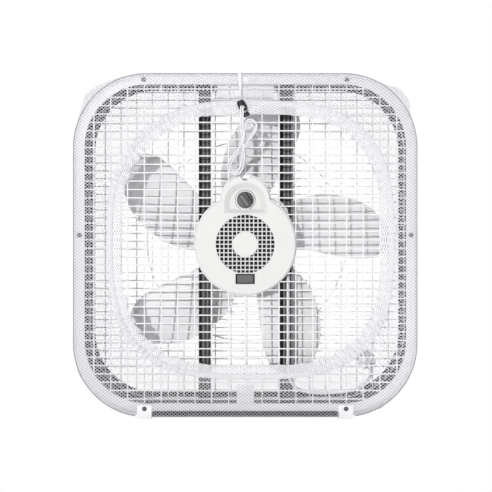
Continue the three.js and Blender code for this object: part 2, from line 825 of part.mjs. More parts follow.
function addTab() {
  const low = footLift + frontRimWidth + gap;
  const tab = cut(
    box(-13.5, 13.5, rimFront, rimBack, low, low + 29),
    barrel(1.5, rimFront - 1, rimBack + 1, 8, 0, low + 14),
  );
  pieceOf("grille_clip", tab, whitePlastic, fan);
}

function addRimScrews() {
  for (const [end, label] of [[1, "front"], [-1, "rear"]]) {
    rimScrews.forEach(({ x, z, proud }, i) => {
      const seat = rimFront - proud - gap;
      const head = barrel(screwHeadRadius, seat - screwHeadHeight, seat, 8);
      const shank = barrel(screwRadius, seat - 0.5, seat + screwLength + proud, 8);
      const screw = pieceOf(`${label}_screw_${i + 1}`, join(head, shank), zincSteel, fan);
      screw.position.set(x, 0, z);
      if (end < 0) screw.rotation.z = Math.PI;
    });
  }
}

// ---- Gland and supply lead ----
function addLead() {
  const glandFront = rearGrilleFront - 8;
  const gland = cut(
    join(
      barrel(glandRadius, glandFront, netRearFace - 2, 16, glandX, glandZ),
      barrel(glandRadius + 2.5, glandFront, rearGrilleFront - gap, 16, glandX, glandZ),
    ),
    barrel(leadDiameter / 2, glandFront + 6, netRearFace, 12, glandX, glandZ),
  );
  pieceOf("cord_gland", gland, whitePlastic, fan);
  const strutX = strutSpacing / 2 + 3;
  const inChannel = strutFront + strutDepth / 2;
  const ahead = (grilleBack + strutFront) / 2;
  const low = footLift + 30;
  const points = [
    [glandX, glandFront - gap, glandZ],
    [glandX, glandFront - 20, glandZ],
    [glandX, 0, glandZ - 6],
    [glandX - 4, ahead + 14, glandZ - 14],
    [glandX - 24, ahead, low + 6],
    [glandX - 60, ahead, low],
    [strutX + 34, ahead, low],
    [strutX + 10, ahead, low + 8],
    [strutX, ahead + 3, low + 28],
    [strutX, inChannel, low + 60],
    [strutX, inChannel, hubZ - 60],
    [strutX, inChannel, hubZ],
    [strutX, inChannel, podZ - 40],
    [strutX - 4, ahead + 4, podZ - 14],
    [strutX - 20, ahead, podZ],
    [switchBody.width / 2 + 12, ahead, podZ],
    [switchBody.width / 2 + gap, ahead, podZ],
  ].map((p) => new THREE.Vector3(...p));
  pieceOf("supply_lead", cordThrough(points, leadDiameter, 40, 6), whitePlastic, fan);
}

// ---- Net cover ----
// The bag's outline: close round the housing, and lower underneath, where it hangs between the feet.
function netOutline(offset) {
  const width = housingWidth + 2 * (netSideGap + offset);
  const top = footLift + housingHeight + netSideGap + offset;
  const bottom = netBottom + netThickness - offset;
  const height = top - bottom;
  return {
    points: roundedRectangle(width, height, cornerRadius + netSideGap + offset),
    z: (top + bottom) / 2,
  };
}

function netSlab(offset, yFront, yBack) {
  const { points, z } = netOutline(offset);
  return slab(points, yFront, yBack, 0, z);
}

// Room for the feet in every net panel.
const footRoom = () =>
  [-1, 1].map((side) => {
    const x = (side * footSpacing) / 2;
    const half = footWidth / 2 + 1;
    return box(x - half, x + half, netFrontFace - 5, netRearFace + 5, -1, footRise + 1);
  });

function addNet() {
  // The band round the housing, and the strip of it that is left between the feet.
  const bandEdge = netFrontBack + gap;
  const wholeBand = cut(
    netSlab(netThickness, bandEdge, -bandEdge),
    netSlab(0, netFrontBack, -netFrontBack),
  );
  const innerFoot = footSpacing / 2 - footWidth / 2 - 1;
  const outerFoot = footSpacing / 2 + footWidth / 2 + 1;
  const under = (reach) => box(-reach, reach, netFrontBack - 5, -netFrontBack + 5, -1, footRise + 1);
  pieceOf("net_side_band", cut(wholeBand, under(outerFoot)), netCloth, fan);
  pieceOf("net_under_strip", wholeBand.intersect(under(innerFoot)), netCloth, fan);
  const back = cut(netSlab(netThickness, -netFrontBack, netRearFace), ...footRoom());
  pieceOf("net_back_panel", back, netCloth, fan);
  const flap = cut(
    netSlab(netThickness, netFrontFace, netFrontBack),
    slab(openingOutline(0), netFrontFace - 1, netFrontBack + 1, 0, hubZ),
    ...footRoom(),
  );
  pieceOf("net_front_flap", flap, netCloth, fan);
  // The casing is folded over the drawstring and is open to the rear along its middle.
  const half = drawstringDiameter / 2 + gap;
  const exitX = lock.x;
  const casing = cut(
    openingRing(casingWidth / 2, -casingWidth / 2, casingFront, casingBack),
    openingRing(half, -half, casingFront + 0.6, casingBack + 1),
    box(
      exitX - 5,
      exitX + 5,
      casingFront - 1,
      casingBack + 1,
      casingTopZ - half,
      casingTopZ + half,
    ),
  );
  pieceOf("net_hem_casing", casing, netCloth, fan);
  const frillOut = -casingWidth / 2 - gap;
  const frill = openingRing(frillOut, frillOut - frillWidth, casingBack - 2, casingBack);
  pieceOf("net_hem_frill", frill, netCloth, fan);
  // Binding tape down the front from the top edge, and over it to the back.
  const top = footLift + housingHeight + netSideGap + netThickness + gap;
  const tapeFront = netFrontFace - gap - netThickness;
  const x0 = tape.x - tape.width / 2;
  const x1 = tape.x + tape.width / 2;
  const lowEnd = casingTopZ + casingWidth / 2 + tape.casingGap;
  const binding = join(
    box(x0, x1, tapeFront, tapeFront + netThickness, lowEnd, top + tape.proud),
    box(x0, x1, tapeFront, netRearFace, top, top + tape.proud),
  );
  pieceOf("net_seam_tape", binding, netCloth, fan);
}

// ---- Drawstring and cord lock ----
const lockZ = casingTopZ - 4.6;
const lockBackY = casingFront - 1.5;
const lockY = lockBackY - lock.depth / 2;
const lockFrontY = lockBackY - lock.depth;

function addDrawstring() {
  // Its run lies in the casing, pressed square, from one side of the exit round to the other.
  const half = drawstringDiameter / 2;
  const run = cut(
    openingRing(half, -half, casingBack - drawstringDiameter - gap, casingBack - gap),
    box(lock.x - 4, lock.x + 4, casingFront, casingBack, casingTopZ - 10, casingTopZ + 10),
  );
  pieceOf("drawstring_ring", run, whiteCord, fan);

  // Two tails leave the lock's face, turn down and hang to the tied hank.
  const hankLow = new THREE.Vector2(hank.lowX, casingTopZ - hank.lowDrop);
  const hankHigh = new THREE.Vector2(hank.highX, casingTopZ - hank.highDrop);
  const axis = hankHigh.clone().sub(hankLow);
  const lean = Math.atan2(axis.y, axis.x);
  const end = hank.width / 2;
  const outline = [
    ...arc(hankHigh.x, hankHigh.y, end, lean - Math.PI / 2, lean + Math.PI / 2, 8),
    ...arc(hankLow.x, hankLow.y, end, lean + Math.PI / 2, lean + 1.5 * Math.PI, 8),
  ];
  const hankY = knobFront - gap - hank.thickness / 2; // hangs clear of the knob
  const bundle = slab(outline, hankY - hank.thickness / 2, hankY + hank.thickness / 2);
  pieceOf("drawstring_hank", bundle, whiteCord, fan);
  const exitZ = lockZ - 1.8;
  for (const [name, side] of [["drawstring_tail_left", -1], ["drawstring_tail_right", 1]]) {
    const x = lock.x + side * tailSpread;
    const route = [
      [x, lockFrontY - gap, exitZ],
      [x, lockFrontY - 2.6, exitZ - 0.3],
      [x, lockFrontY - 5, exitZ - 2.4],
      [x, lockFrontY - 5.9, exitZ - 6],
      [x, hankY, exitZ - 12],
      [x, hankY, exitZ - 19],
      [x, hankY, exitZ - 27],
    ].map((p) => new THREE.Vector3(...p));
    const cord = cut(
      cordThrough(route, drawstringDiameter, 12),
      slab(outline, hankY - hank.thickness, hankY + hank.thickness),
    );
    pieceOf(name, cord, whiteCord, fan);
  }
}

// An oval bar along Z.
function ovalBar(halfWidth, halfDepth, z0, z1, sides = 16) {
  const geometry = new THREE.CylinderGeometry(1, 1, z1 - z0, sides);
  geometry.rotateX(Math.PI / 2).scale(halfWidth, halfDepth, 1).translate(0, 0, (z0 + z1) / 2);
  return solidOf(geometry);
}

function addCordLock() {
  // Drawn upright about its body's middle, button down, then tilted.
  const group = new THREE.Group();
  group.position.set(lock.x, lockY, lockZ);
  group.rotation.y = -THREE.MathUtils.degToRad(lock.tilt);
  fan.add(group);
  const half = lock.length / 2;
  const plungerX = lock.width / 2 - 1.9;
  const plungerY = lock.depth / 2 - 1.95;
  const roof = half - 2;
  const plungerTop = roof - lock.travel - 2.5;
  const body = cut(
    ovalBar(lock.width / 2, lock.depth / 2, -half, half),
    ovalBar(plungerX + gap, plungerY + gap, -half - 1, roof),
    box(-3.6, 3.6, -lock.depth, lock.depth, -half + 2.6, -half + 6.2),
  );
  pieceOf("cord_lock_body", body, blackPlastic, group);
  const capTop = -half - lock.travel - gap;
  const button = cut(
    join(
      ovalBar(plungerX, plungerY, capTop - 0.5, plungerTop),
      ovalBar(plungerX + 1, plungerY + 1.2, capTop - 5.5, capTop),
    ),
    box(-3.4, 3.4, -lock.depth, lock.depth, capTop + 1, -half + 6.4),
  );
  pieceOf("cord_lock_button", button, blackPlastic, group);
  const wire = 0.5;
  const springLow = plungerTop + gap + wire / 2;
  const springHigh = roof - gap - wire / 2;
  const turns = 3;
  const helix = Array.from({ length: turns * 8 + 1 }, (_, i) => {
    const angle = (Math.PI / 4) * i;
    const z = springLow + ((springHigh - springLow) * i) / (turns * 8);
    return new THREE.Vector3(1.8 * Math.cos(angle), 1.8 * Math.sin(angle), z);
  });
  pieceOf("cord_lock_spring", cordThrough(helix, wire, turns * 8, 5), zincSteel, group);
}

addHousing();
addFrontGrille();
addRearGrille();
addHubCover();
addKnobAndSwitch();
addStruts();
addMotor();
addHandle();
addFeet();
addTab();
addRimScrews();
addLead();
addNet();
addDrawstring();
addCordLock();

// The part's origin is under the middle of its depth, from the knob's grip to the heads of the rear foot screws.
const rearMost = Math.max(netRearFace, gap + screwHeadHeight - lugFront);
fan.position.y = -(knobFront + rearMost) / 2;

export default fan;
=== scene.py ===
"""A box fan put away in a drawstring net cover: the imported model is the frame, and every visible
piece is finished here, in the order that the fan is put together."""

import math

import bmesh
import bpy
from mathutils import Matrix, Vector


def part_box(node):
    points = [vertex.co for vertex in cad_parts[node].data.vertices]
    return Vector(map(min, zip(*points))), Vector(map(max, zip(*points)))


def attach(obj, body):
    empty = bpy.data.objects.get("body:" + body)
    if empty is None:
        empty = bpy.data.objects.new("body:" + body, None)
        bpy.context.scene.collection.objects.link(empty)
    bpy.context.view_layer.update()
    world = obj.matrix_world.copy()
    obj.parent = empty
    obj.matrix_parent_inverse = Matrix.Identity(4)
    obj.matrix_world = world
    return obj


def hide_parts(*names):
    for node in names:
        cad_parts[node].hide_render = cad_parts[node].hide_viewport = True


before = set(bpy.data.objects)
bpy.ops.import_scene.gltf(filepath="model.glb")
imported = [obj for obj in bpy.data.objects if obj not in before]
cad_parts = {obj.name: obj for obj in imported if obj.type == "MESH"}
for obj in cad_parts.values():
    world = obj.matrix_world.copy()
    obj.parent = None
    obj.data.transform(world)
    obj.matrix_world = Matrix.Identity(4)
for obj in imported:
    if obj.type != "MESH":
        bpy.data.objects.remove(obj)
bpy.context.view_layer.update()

bpy.ops.object.select_all(action="DESELECT")
mm = 0.001

# ---- Camera ----
# The fan is seen square on, from a little right of its shaft and a hand above it, through a longish
# lens, so that the housing's left and lower walls show more than the others.
band_low, band_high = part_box("housing_band")
shaft_low, shaft_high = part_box("rotor_shaft")
hub = Vector((0, 0, (shaft_low.z + shaft_high.z) / 2))
rim_y = band_low.y
view_width = 764.6 * mm
view_distance = 1576 * mm
eye = Vector((35 * mm, rim_y - view_distance, hub.z + 62 * mm))
aim = Vector((1.1 * mm, rim_y, hub.z - 3.1 * mm))
bpy.ops.object.camera_add(location=eye, rotation=(math.pi / 2, 0, 0))
camera = bpy.context.object
camera.name = "camera"
camera.data.sensor_width = 36
camera.data.lens = 36 * view_distance / view_width
camera.data.shift_x = (aim.x - eye.x) / view_width
camera.data.shift_y = (aim.z - eye.z) / view_width
camera.data.clip_end = 20
bpy.context.scene.camera = camera


# ---- Drawstring tails ----
# The two ends of the net's drawstring: soft 2.6 mm braid that leaves the lock's face, hangs down and
# is folded into a hank. Both are limp, 0.4 m long, and end in a knot.
def add_node(tree, kind, inputs=None, **settings):
    """A new shader node. Each of its inputs is a constant, or the output that feeds it."""
    made = tree.nodes.new("ShaderNode" + kind)
    for key, value in settings.items():
        setattr(made, key, value)
    for socket, value in (inputs or {}).items():
        if isinstance(value, bpy.types.NodeSocket):
            tree.links.new(value, made.inputs[socket])
        else:
            made.inputs[socket].default_value = value
    return made


def new_material(name):
    """A new material, its node tree and its main shader."""
    made = bpy.data.materials.new(name)
    made.use_nodes = True
    return made, made.node_tree, made.node_tree.nodes["Principled BSDF"]


def finish(name, color, roughness, metallic=0.0, cloud=0.06, cloud_scale=22, grain=0.0, grain_mm=1.0):
    """A finish with slightly cloudy colour and gloss, and a fine grain of a size in mm."""
    made, tree, shader = new_material(name)
    shader.inputs["Metallic"].default_value = metallic
    place = add_node(tree, "TexCoord").outputs["Object"]
    noise = add_node(tree, "TexNoise", {"Scale": cloud_scale, "Detail": 4, "Vector": place}).outputs["Fac"]
    ramp = add_node(tree, "ValToRGB", {"Fac": noise})
    dark, pale = ramp.color_ramp.elements
    dark.position, pale.position = 0.3, 0.7
    dark.color = (*[c * (1 - cloud) for c in color], 1)
    pale.color = (*[min(1, c * (1 + cloud / 3)) for c in color], 1)
    tree.links.new(ramp.outputs["Color"], shader.inputs["Base Color"])
    low, high = max(0.05, roughness - 0.07), min(1, roughness + 0.07)
    gloss = add_node(tree, "MapRange", {"To Min": low, "To Max": high, "Value": noise})
    tree.links.new(gloss.outputs["Result"], shader.inputs["Roughness"])
    if grain:
        fine = add_node(tree, "TexNoise", {"Scale": 1 / (grain_mm * mm), "Detail": 2, "Vector": place})
        add_bump(tree, shader, fine.outputs["Fac"], grain, 0.3 * mm)
    return made


def add_bump(tree, shader, height, strength, distance, invert=False):
    """Gives a shader a relief."""
    inputs = {"Strength": strength, "Distance": distance, "Height": height}
    bump = add_node(tree, "Bump", inputs, invert=invert)
    tree.links.new(bump.outputs["Normal"], shader.inputs["Normal"])


def fit(piece, material, body="root", replaces=()):
    """Gives a piece its material, its body and the nodes that it stands for."""
    if material:
        piece.data.materials.clear()
        piece.data.materials.append(material)
    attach(piece, body)
    if replaces:
        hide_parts(*replaces)
    return piece


def new_piece(name, data):
    """A new object in the scene, of a mesh or a curve."""
    piece = bpy.data.objects.new(name, data)
    bpy.context.scene.collection.objects.link(piece)
    return piece


def cord_along(name, points, radius):
    """A round cord of one open spline, smooth through the points, and its length."""
    dense = []
    ends = [points[0] * 2 - points[1], *points, points[-1] * 2 - points[-2]]
    for a, b, c, d in zip(ends, ends[1:], ends[2:], ends[3:]):
        for step in range(6):
            t = step / 6
            square, cube = 2 * a - 5 * b + 4 * c - d, 3 * b - a - 3 * c + d
            dense.append(b + ((c - a) * t + square * t * t + cube * t ** 3) / 2)
    dense.append(points[-1])
    curve = bpy.data.curves.new(name, "CURVE")
    curve.dimensions = "3D"
    curve.bevel_depth = radius
    curve.bevel_resolution = 3
    curve.use_fill_caps = True
    spline = curve.splines.new("POLY")
    spline.points.add(len(dense) - 1)
    for knot, at in zip(spline.points, dense):
        knot.co = (*at, 1)
    return new_piece(name, curve), sum((b - a).length for a, b in zip(dense, dense[1:]))


cord_white = finish(
    "cord_white", (0.84, 0.83, 0.86), 0.85, cloud=0.16, cloud_scale=600, grain=1, grain_mm=0.8
)
cord_thick = 2.6 * mm
hank_low, hank_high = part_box("drawstring_hank")
hank_y = (hank_low.y + hank_high.y) / 2
hank_waist = Vector((-2.5 * mm, hank_y, hank_low.z + 46.1 * mm))
hank_axis = Vector((0.366, 0, 0.93)).normalized()
hank_side = Vector((0.93, 0, -0.366)).normalized()
lock_low, lock_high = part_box("cord_lock_body")
exit_z = lock_low.z + 8.6 * mm


def in_hank(along, across, depth):
    """A point of the hank, in mm from its waist."""
    return hank_waist + hank_axis * along * mm + hank_side * across * mm + Vector((0, depth * mm, 0))


def fold(end, shift, radius, depth, way):
    """One fold: out along one side, round the hank's end and back along the other side."""
    near = 1 if end > 0 else -1
    points = [(0.4 * end, shift + way * 0.6 * radius), (0.78 * end, shift + way * 0.97 * radius)]
    for step in range(5):
        turn = math.pi * step / 4
        points.append((end + near * radius * math.sin(turn), shift + way * radius * math.cos(turn)))
    points += [(0.78 * end, shift - way * 0.97 * radius), (0.4 * end, shift - way * 0.6 * radius)]
    return [in_hank(along, across, depth) for along, across in points]


tails = [
    {
        "name": "cord_tail_left",
        "node": "drawstring_tail_left",
        "x": -6.2,
        "waist": [(-2.6, -3.2), (2.4, -4.4), (0.2, -1.0), (-3.6, 1.2)],
        "folds": [(-36.2, -1.6, 9.2, -4.5, -1), (31.0, 1.2, 8.2, -3.4, 1), (-33.2, 1.8, 8.4, 1.6, -1)],
        "end": [(12, 3.0, 2.4), (22, 6.0, 3.0), (32, 4.6, 3.4), (36, -1.4, 3.2)],
    },
    {
        "name": "cord_tail_right",
        "node": "drawstring_tail_right",
        "x": -3.2,
        "waist": [(-0.4, -4.6), (-4.8, -1.6), (3.8, -1.6), (0.6, 3.2)],
        "folds": [(-36.8, 2.0, 9.4, -1.5, 1), (33.0, -1.2, 8.6, 0.2, -1), (-35.2, -2.2, 8.8, 4.6, 1)],
        "end": [(10, -3.2, 4.4), (20, -5.4, 4.4), (29, -2.0, 3.6), (33, 1.6, 3.2)],
    },
]
for tail in tails:
    x = tail["x"] * mm
    face = lock_low.y
    points = [
        Vector((x, face - 0.3 * mm, exit_z)),
        Vector((x, face - 2.6 * mm, exit_z - 0.3 * mm)),
        Vector((x, face - 5.0 * mm, exit_z - 2.4 * mm)),
        Vector((x, face - 5.9 * mm, exit_z - 6 * mm)),
        Vector((x, hank_y - 1 * mm, exit_z - 14 * mm)),
        Vector((x, hank_y - 2 * mm, exit_z - 27 * mm)),
        Vector((x + 0.4 * mm, hank_y - 3 * mm, exit_z - 42 * mm)),
    ]
    for waist, turn in zip(tail["waist"], tail["folds"] + [None]):
        points.append(in_hank(0, *waist))
        points += fold(*turn) if turn else []
    points += [in_hank(*at) for at in tail["end"]]
    cord, length = cord_along(tail["name"], points, cord_thick / 2)
    bpy.ops.mesh.primitive_ico_sphere_add(subdivisions=4, radius=2.5 * mm)
    knot = bpy.context.object
    knot.name = tail["name"] + "_knot"
    for vertex in knot.data.vertices:
        turn = math.atan2(vertex.co.z, vertex.co.x)
        vertex.co *= 1 + 0.14 * math.sin(2 * turn + vertex.co.y / mm)
        vertex.co += points[-1]
    bpy.ops.object.shade_smooth()
    fit(knot, cord_white)
    fit(cord, cord_white, replaces=(tail["node"], "drawstring_hank"))

# ---- Hank tie ----
# The folded tails are held by two turns of the same cord round their waist.
tie_points = []
steps_a_turn = 14
tie_steps = 2 * steps_a_turn
tie_width = 2.6
for step in range(tie_steps + 1):
    turn = 2 * math.pi * step / steps_a_turn
    along = tie_width * step / tie_steps - tie_width / 2
    tie_points.append(in_hank(along, 6.2 * math.cos(turn), 6.4 * math.sin(turn)))
tie, _ = cord_along("hank_tie", tie_points, 1.1 * mm)
fit(tie, cord_white)

# ---- Housing band ----
# The fan's body: one band of 1.2 mm steel bent round to a rounded square, its edges rolled into flat
# rims, white outside and painted black inside as painted shade on the inner walls. The carrying tray is
# let into its top wall.
housing_width = band_high.x - band_low.x
housing_height = band_high.z - band_low.z
corner_radius = 112 * mm
band_middle = Vector((0, 0, (band_low.z + band_high.z) / 2))
rim_back = band_high.y


def rounded_square(inset, width=housing_width, height=housing_height, radius=corner_radius, steps=14):
    """The points (x, z) round the housing's outline, moved in by the inset."""
    across = width / 2 - radius
    up = height / 2 - radius
    round_off = max(radius - inset, 0.1 * mm)
    points = []
    for corner, (sx, sz) in enumerate([(1, 1), (-1, 1), (-1, -1), (1, -1)]):
        for step in range(steps + 1):
            turn = math.pi / 2 * (corner + step / steps)
            points.append((sx * across + round_off * math.cos(turn), sz * up + round_off * math.sin(turn)))
        side = 6
        x0, z0 = points[-1]
        x1, z1 = (-sx * across, z0) if corner % 2 == 0 else (x0, -sz * up)
        points += [(x0 + (x1 - x0) * i / side, z0 + (z1 - z0) * i / side) for i in range(1, side)]
    return points


def mesh_piece(name, points, faces, smooth=True):
    """A new piece from its points and faces, turned outwards."""
    mesh = bpy.data.meshes.new(name)
    mesh.from_pydata([tuple(p) for p in points], [], faces)
    piece = new_piece(name, mesh)
    outwards(piece)
    if smooth:
        smooth_by_angle(piece)
    return piece


def worked_piece(name, work):
    """A new piece from a worked mesh, which is then freed."""
    mesh = bpy.data.meshes.new(name)
    work.to_mesh(mesh)
    work.free()
    return new_piece(name, mesh)


def outwards(piece):
    """Merges the doubles of a piece's mesh and turns its faces outwards."""
    work = bmesh.new()
    work.from_mesh(piece.data)
    bmesh.ops.remove_doubles(work, verts=work.verts, dist=0.005 * mm)
    bmesh.ops.recalc_face_normals(work, faces=work.faces)
    work.to_mesh(piece.data)
    work.free()


def choose(piece):
    """Makes a piece the only selected and the active one."""
    bpy.ops.object.select_all(action="DESELECT")
    piece.select_set(True)
    bpy.context.view_layer.objects.active = piece


def smooth_by_angle(piece, degrees=35):
    choose(piece)
    bpy.ops.object.shade_smooth_by_angle(angle=math.radians(degrees))


def apply(piece, kind, **settings):
    """Adds a modifier with its settings and applies it."""
    choose(piece)
    made = piece.modifiers.new(kind.lower(), kind)
    for key, value in settings.items():
        setattr(made, key, value)
    bpy.ops.object.modifier_apply(modifier=made.name)


def quads(rows, count, around=True, closed=False):
    """The faces between rows of points: a row's ends are joined if it goes around, and the last row
    is joined to the first if they are closed."""
    faces = []
    for row in range(rows if closed else rows - 1):
        after = (row + 1) % rows
        for i in range(count if around else count - 1):
            j = (i + 1) % count
            faces.append((row * count + i, row * count + j, after * count + j, after * count + i))
    return faces


def loft(name, loops, closed=False):
    """A wall through loops of the same number of points."""
    points = [p for loop in loops for p in loop]
    return mesh_piece(name, points, quads(len(loops), len(loops[0]), closed=closed))


def swept_ring(name, outline, profile, centre, closed=True):
    """A ring: a profile of (inset, y) points carried round an outline that is a function of inset."""
    loops = [[Vector((centre.x + x, y, centre.z + z)) for x, z in outline(inset)] for inset, y in profile]
    return loft(name, loops, closed)


def rolled(inset_edge, inset_side, y_edge, y_side, steps=4):
    """Points of a quarter round from a side wall to a face, as (inset, y)."""
    points = []
    for step in range(steps + 1):
        turn = math.pi / 2 * step / steps
        points.append(
            (
                inset_side + (inset_edge - inset_side) * (1 - math.cos(turn)),
                y_side + (y_edge - y_side) * math.sin(turn),
            )
        )
    return points


steel = 1.2 * mm
roll = 2.8 * mm
front_rim = 15 * mm
rear_rim = 12 * mm
outer_edge = rolled(roll, 0, rim_y, rim_y + roll)
inner_edge = rolled(roll, steel, rim_y + steel, rim_y + roll)
outer_back = rolled(roll, 0, rim_back, rim_back - roll)
inner_back = rolled(roll, steel, rim_back - steel, rim_back - roll)
band_profile = (
    outer_edge
    + [(front_rim - 0.4 * mm, rim_y), (front_rim, rim_y + 0.4 * mm), (front_rim, rim_y + steel)]
    + inner_edge[::-1]
    + inner_back
    + [(rear_rim, rim_back - steel), (rear_rim, rim_back - 0.4 * mm), (rear_rim - 0.4 * mm, rim_back)]
    + outer_back[::-1]
)
housing = swept_ring("housing", rounded_square, band_profile, band_middle)
tray_low, tray_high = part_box("handle_tray")


def cutter(low, high):
    """A box between two corners, to be cut out of a piece."""
    bpy.ops.mesh.primitive_cube_add(size=1)
    block = bpy.context.object
    for vertex in block.data.vertices:
        vertex.co = Vector([low[i] if vertex.co[i] < 0 else high[i] for i in range(3)])
    return block


def cut_out(piece, block):
    """Cuts a block out of a piece and takes the block away."""
    apply(piece, "BOOLEAN", object=block, operation="DIFFERENCE", solver="EXACT")
    bpy.data.objects.remove(block)


cut_out(
    housing,
    cutter(
        (tray_low.x + 6 * mm, tray_low.y + 3 * mm, tray_high.z - 1 * mm),
        (tray_high.x - 6 * mm, tray_high.y - 3 * mm, band_high.z + 1 * mm),
    ),
)
slot_z = band_high.z - 7.5 * mm
cut_out(
    housing,
    cutter((-5.2 * mm, rim_y - 1 * mm, slot_z - 4.2 * mm), (5.2 * mm, rim_y + 2 * mm, slot_z + 4.2 * mm)),
)
white_enamel = finish("white_enamel", (0.64, 0.64, 0.67), 0.38, cloud=0.03, grain=0.12, grain_mm=1.6)
inside_shade_black = finish("inside_shade_black", (0.012, 0.012, 0.014), 0.6, cloud=0.2, grain=0.3, grain_mm=0.7)
fit(housing, white_enamel, replaces=["housing_band"])
# The inner walls and the rims' inner faces take the black: painted shade for the dark inside the band.
housing.data.materials.append(inside_shade_black)
for face in housing.data.polygons:
    middle = face.center
    inwards = Vector((middle.x, 0, middle.z - band_middle.z)).normalized().dot(face.normal)
    inside = rim_y + steel * 0.8 < middle.y < rim_back - steel * 0.8
    if inside and (inwards < -0.3 or abs(face.normal.y) > 0.6):
        face.material_index = 1
smooth_by_angle(housing)


# ---- Front grille ----
# One white moulding that lies behind the front rim: a frame, 19 uprights and 38 cross bars with
# rounded fronts, and a second frame round the hub cover, which clips into it.
def crossings(outline, axis, at):
    """Where a closed outline of (x, z) points crosses a line of constant x (axis 0) or z (axis 1)."""
    found = []
    for a, b in zip(outline, outline[1:] + outline[:1]):
        if (a[axis] - at) * (b[axis] - at) < 0:
            share = (at - a[axis]) / (b[axis] - a[axis])
            found.append(a[1 - axis] + (b[1 - axis] - a[1 - axis]) * share)
    return sorted(found)


def add_bar(work, axis, at, low, high, y_front, y_back, width, centre):
    """One grille bar with a rounded front, from low to high along z (axis 0) or x (axis 1)."""
    half = width / 2
    soft = 0.34 * width
    section = [
        (-half, y_back), (-half, y_front + soft), (-half + 0.3 * soft, y_front + 0.3 * soft),
        (-half + soft, y_front), (half - soft, y_front), (half - 0.3 * soft, y_front + 0.3 * soft),
        (half, y_front + soft), (half, y_back),
    ]
    loops = []
    for end in (low, high):
        loop = []
        for side, y in section:
            across, along = at + side, end
            x, z = (across, along) if axis == 0 else (along, across)
            loop.append(work.verts.new((centre.x + x, y, centre.z + z)))
        loops.append(loop)
    count = len(section)
    for i in range(count):
        j = (i + 1) % count
        work.faces.new((loops[0][i], loops[0][j], loops[1][j], loops[1][i]))
    work.faces.new(loops[0][::-1])
    work.faces.new(loops[1])


def add_bars(work, pitch, offset, axis, outline, holes, y_front, y_back, width, centre):
    """The bars of one direction, from side to side of an outline, stopped by each hole."""
    reach = int(400 * mm / pitch)
    for index in range(-reach, reach + 1):
        at = (index + offset) * pitch
        ends = crossings(outline, axis, at + 0.001 * mm)
        if len(ends) < 2 or ends[-1] - ends[0] < 8 * mm:
            continue
        spans = [(ends[0], ends[-1])]
        for hole in holes:
            stops = crossings(hole, axis, at + 0.001 * mm)
            if len(stops) < 2:
                continue
            halves = [
                half for low, high in spans
                for half in ((low, min(high, stops[0])), (max(low, stops[-1]), high))
            ]
            spans = [(low, high) for low, high in halves if low < high]
        for low, high in spans:
            add_bar(work, axis, at, low, high, y_front, y_back, width, centre)


def arc(radius, start, sweep, steps, x=0.0, z=0.0):
    """The points (x, z) of an arc about a centre, from an angle through a sweep."""
    turns = [start + sweep * step / steps for step in range(steps + 1)]
    return [(x + radius * math.cos(turn), z + radius * math.sin(turn)) for turn in turns]


def cover_outline(inset, steps=28):
    """The hub cover's outline, moved in: a disc with a pod standing on it, and a small fillet between."""
    reach, pod_reach = cover_radius + neck_fillet, pod_radius + neck_fillet
    neck_z = (reach ** 2 - pod_reach ** 2 + pod_rise ** 2) / (2 * pod_rise)
    neck_x = math.sqrt(reach ** 2 - neck_z ** 2)
    disc_turn = math.atan2(neck_z, neck_x)
    pod_turn = math.atan2(neck_z - pod_rise, neck_x)
    bend = pod_turn - disc_turn
    fillet = neck_fillet + inset
    return [
        *arc(cover_radius - inset, math.pi - disc_turn, math.pi + 2 * disc_turn, 2 * steps),
        *arc(fillet, disc_turn + math.pi, bend, 6, neck_x, neck_z)[1:-1],
        *arc(pod_radius - inset, pod_turn, math.pi - 2 * pod_turn, steps, 0.0, pod_rise),
        *arc(fillet, -pod_turn, bend, 6, -neck_x, neck_z)[1:-1],
    ]


def straight_sides(outline, pieces=5):
    """The outline with its long straight stretches divided."""
    points = []
    for a, b in zip(outline, outline[1:] + outline[:1]):
        long_side = math.hypot(b[0] - a[0], b[1] - a[1]) > 20 * mm
        for i in range(pieces if long_side else 1):
            share = i / pieces
            points.append((a[0] + (b[0] - a[0]) * share, a[1] + (b[1] - a[1]) * share))
    return points


cover_radius = 78.5 * mm
pod_radius = 38.4 * mm
neck_fillet = 3.5 * mm
pod_rise = 68.4 * mm
bar_width = 1.9 * mm
grille_front = band_low.y + 1.5 * mm
grille_back = grille_front + 3 * mm
upright_pitch = 26.2 * mm
cross_pitch = 13.05 * mm
frame_inset = 14.6 * mm
soft_edge = 0.6 * mm
frame_profile = [
    (2 * mm, grille_front), (frame_inset - soft_edge, grille_front),
    (frame_inset, grille_front + soft_edge), (frame_inset, grille_back), (2 * mm, grille_back),
]
grille_frame = swept_ring("front_grille_frame", rounded_square, frame_profile, band_middle)
hub_frame_profile = [
    (-1.6 * mm, grille_back), (-1.6 * mm, grille_front + soft_edge), (-1 * mm, grille_front),
    (5 * mm, grille_front), (5 * mm, grille_back),
]
hub_frame = swept_ring(
    "hub_frame", lambda inset: straight_sides(cover_outline(inset)), hub_frame_profile, hub
)
work = bmesh.new()
for axis, pitch, offset, proud in ((0, upright_pitch, 0, 0), (1, cross_pitch, 0.5, 0.15 * mm)):
    add_bars(
        work, pitch, offset, axis, rounded_square(13.5 * mm), [cover_outline(1 * mm)],
        grille_front + proud, grille_back - proud, bar_width, band_middle,
    )
front_bars = worked_piece("front_grille_bars", work)
smooth_by_angle(front_bars)
white_plastic = finish("white_plastic", (0.86, 0.86, 0.88), 0.42, cloud=0.03, grain=0.15, grain_mm=0.9)
fit(front_bars, white_plastic, replaces=["front_grille"])
fit(grille_frame, white_plastic)
fit(hub_frame, white_plastic)

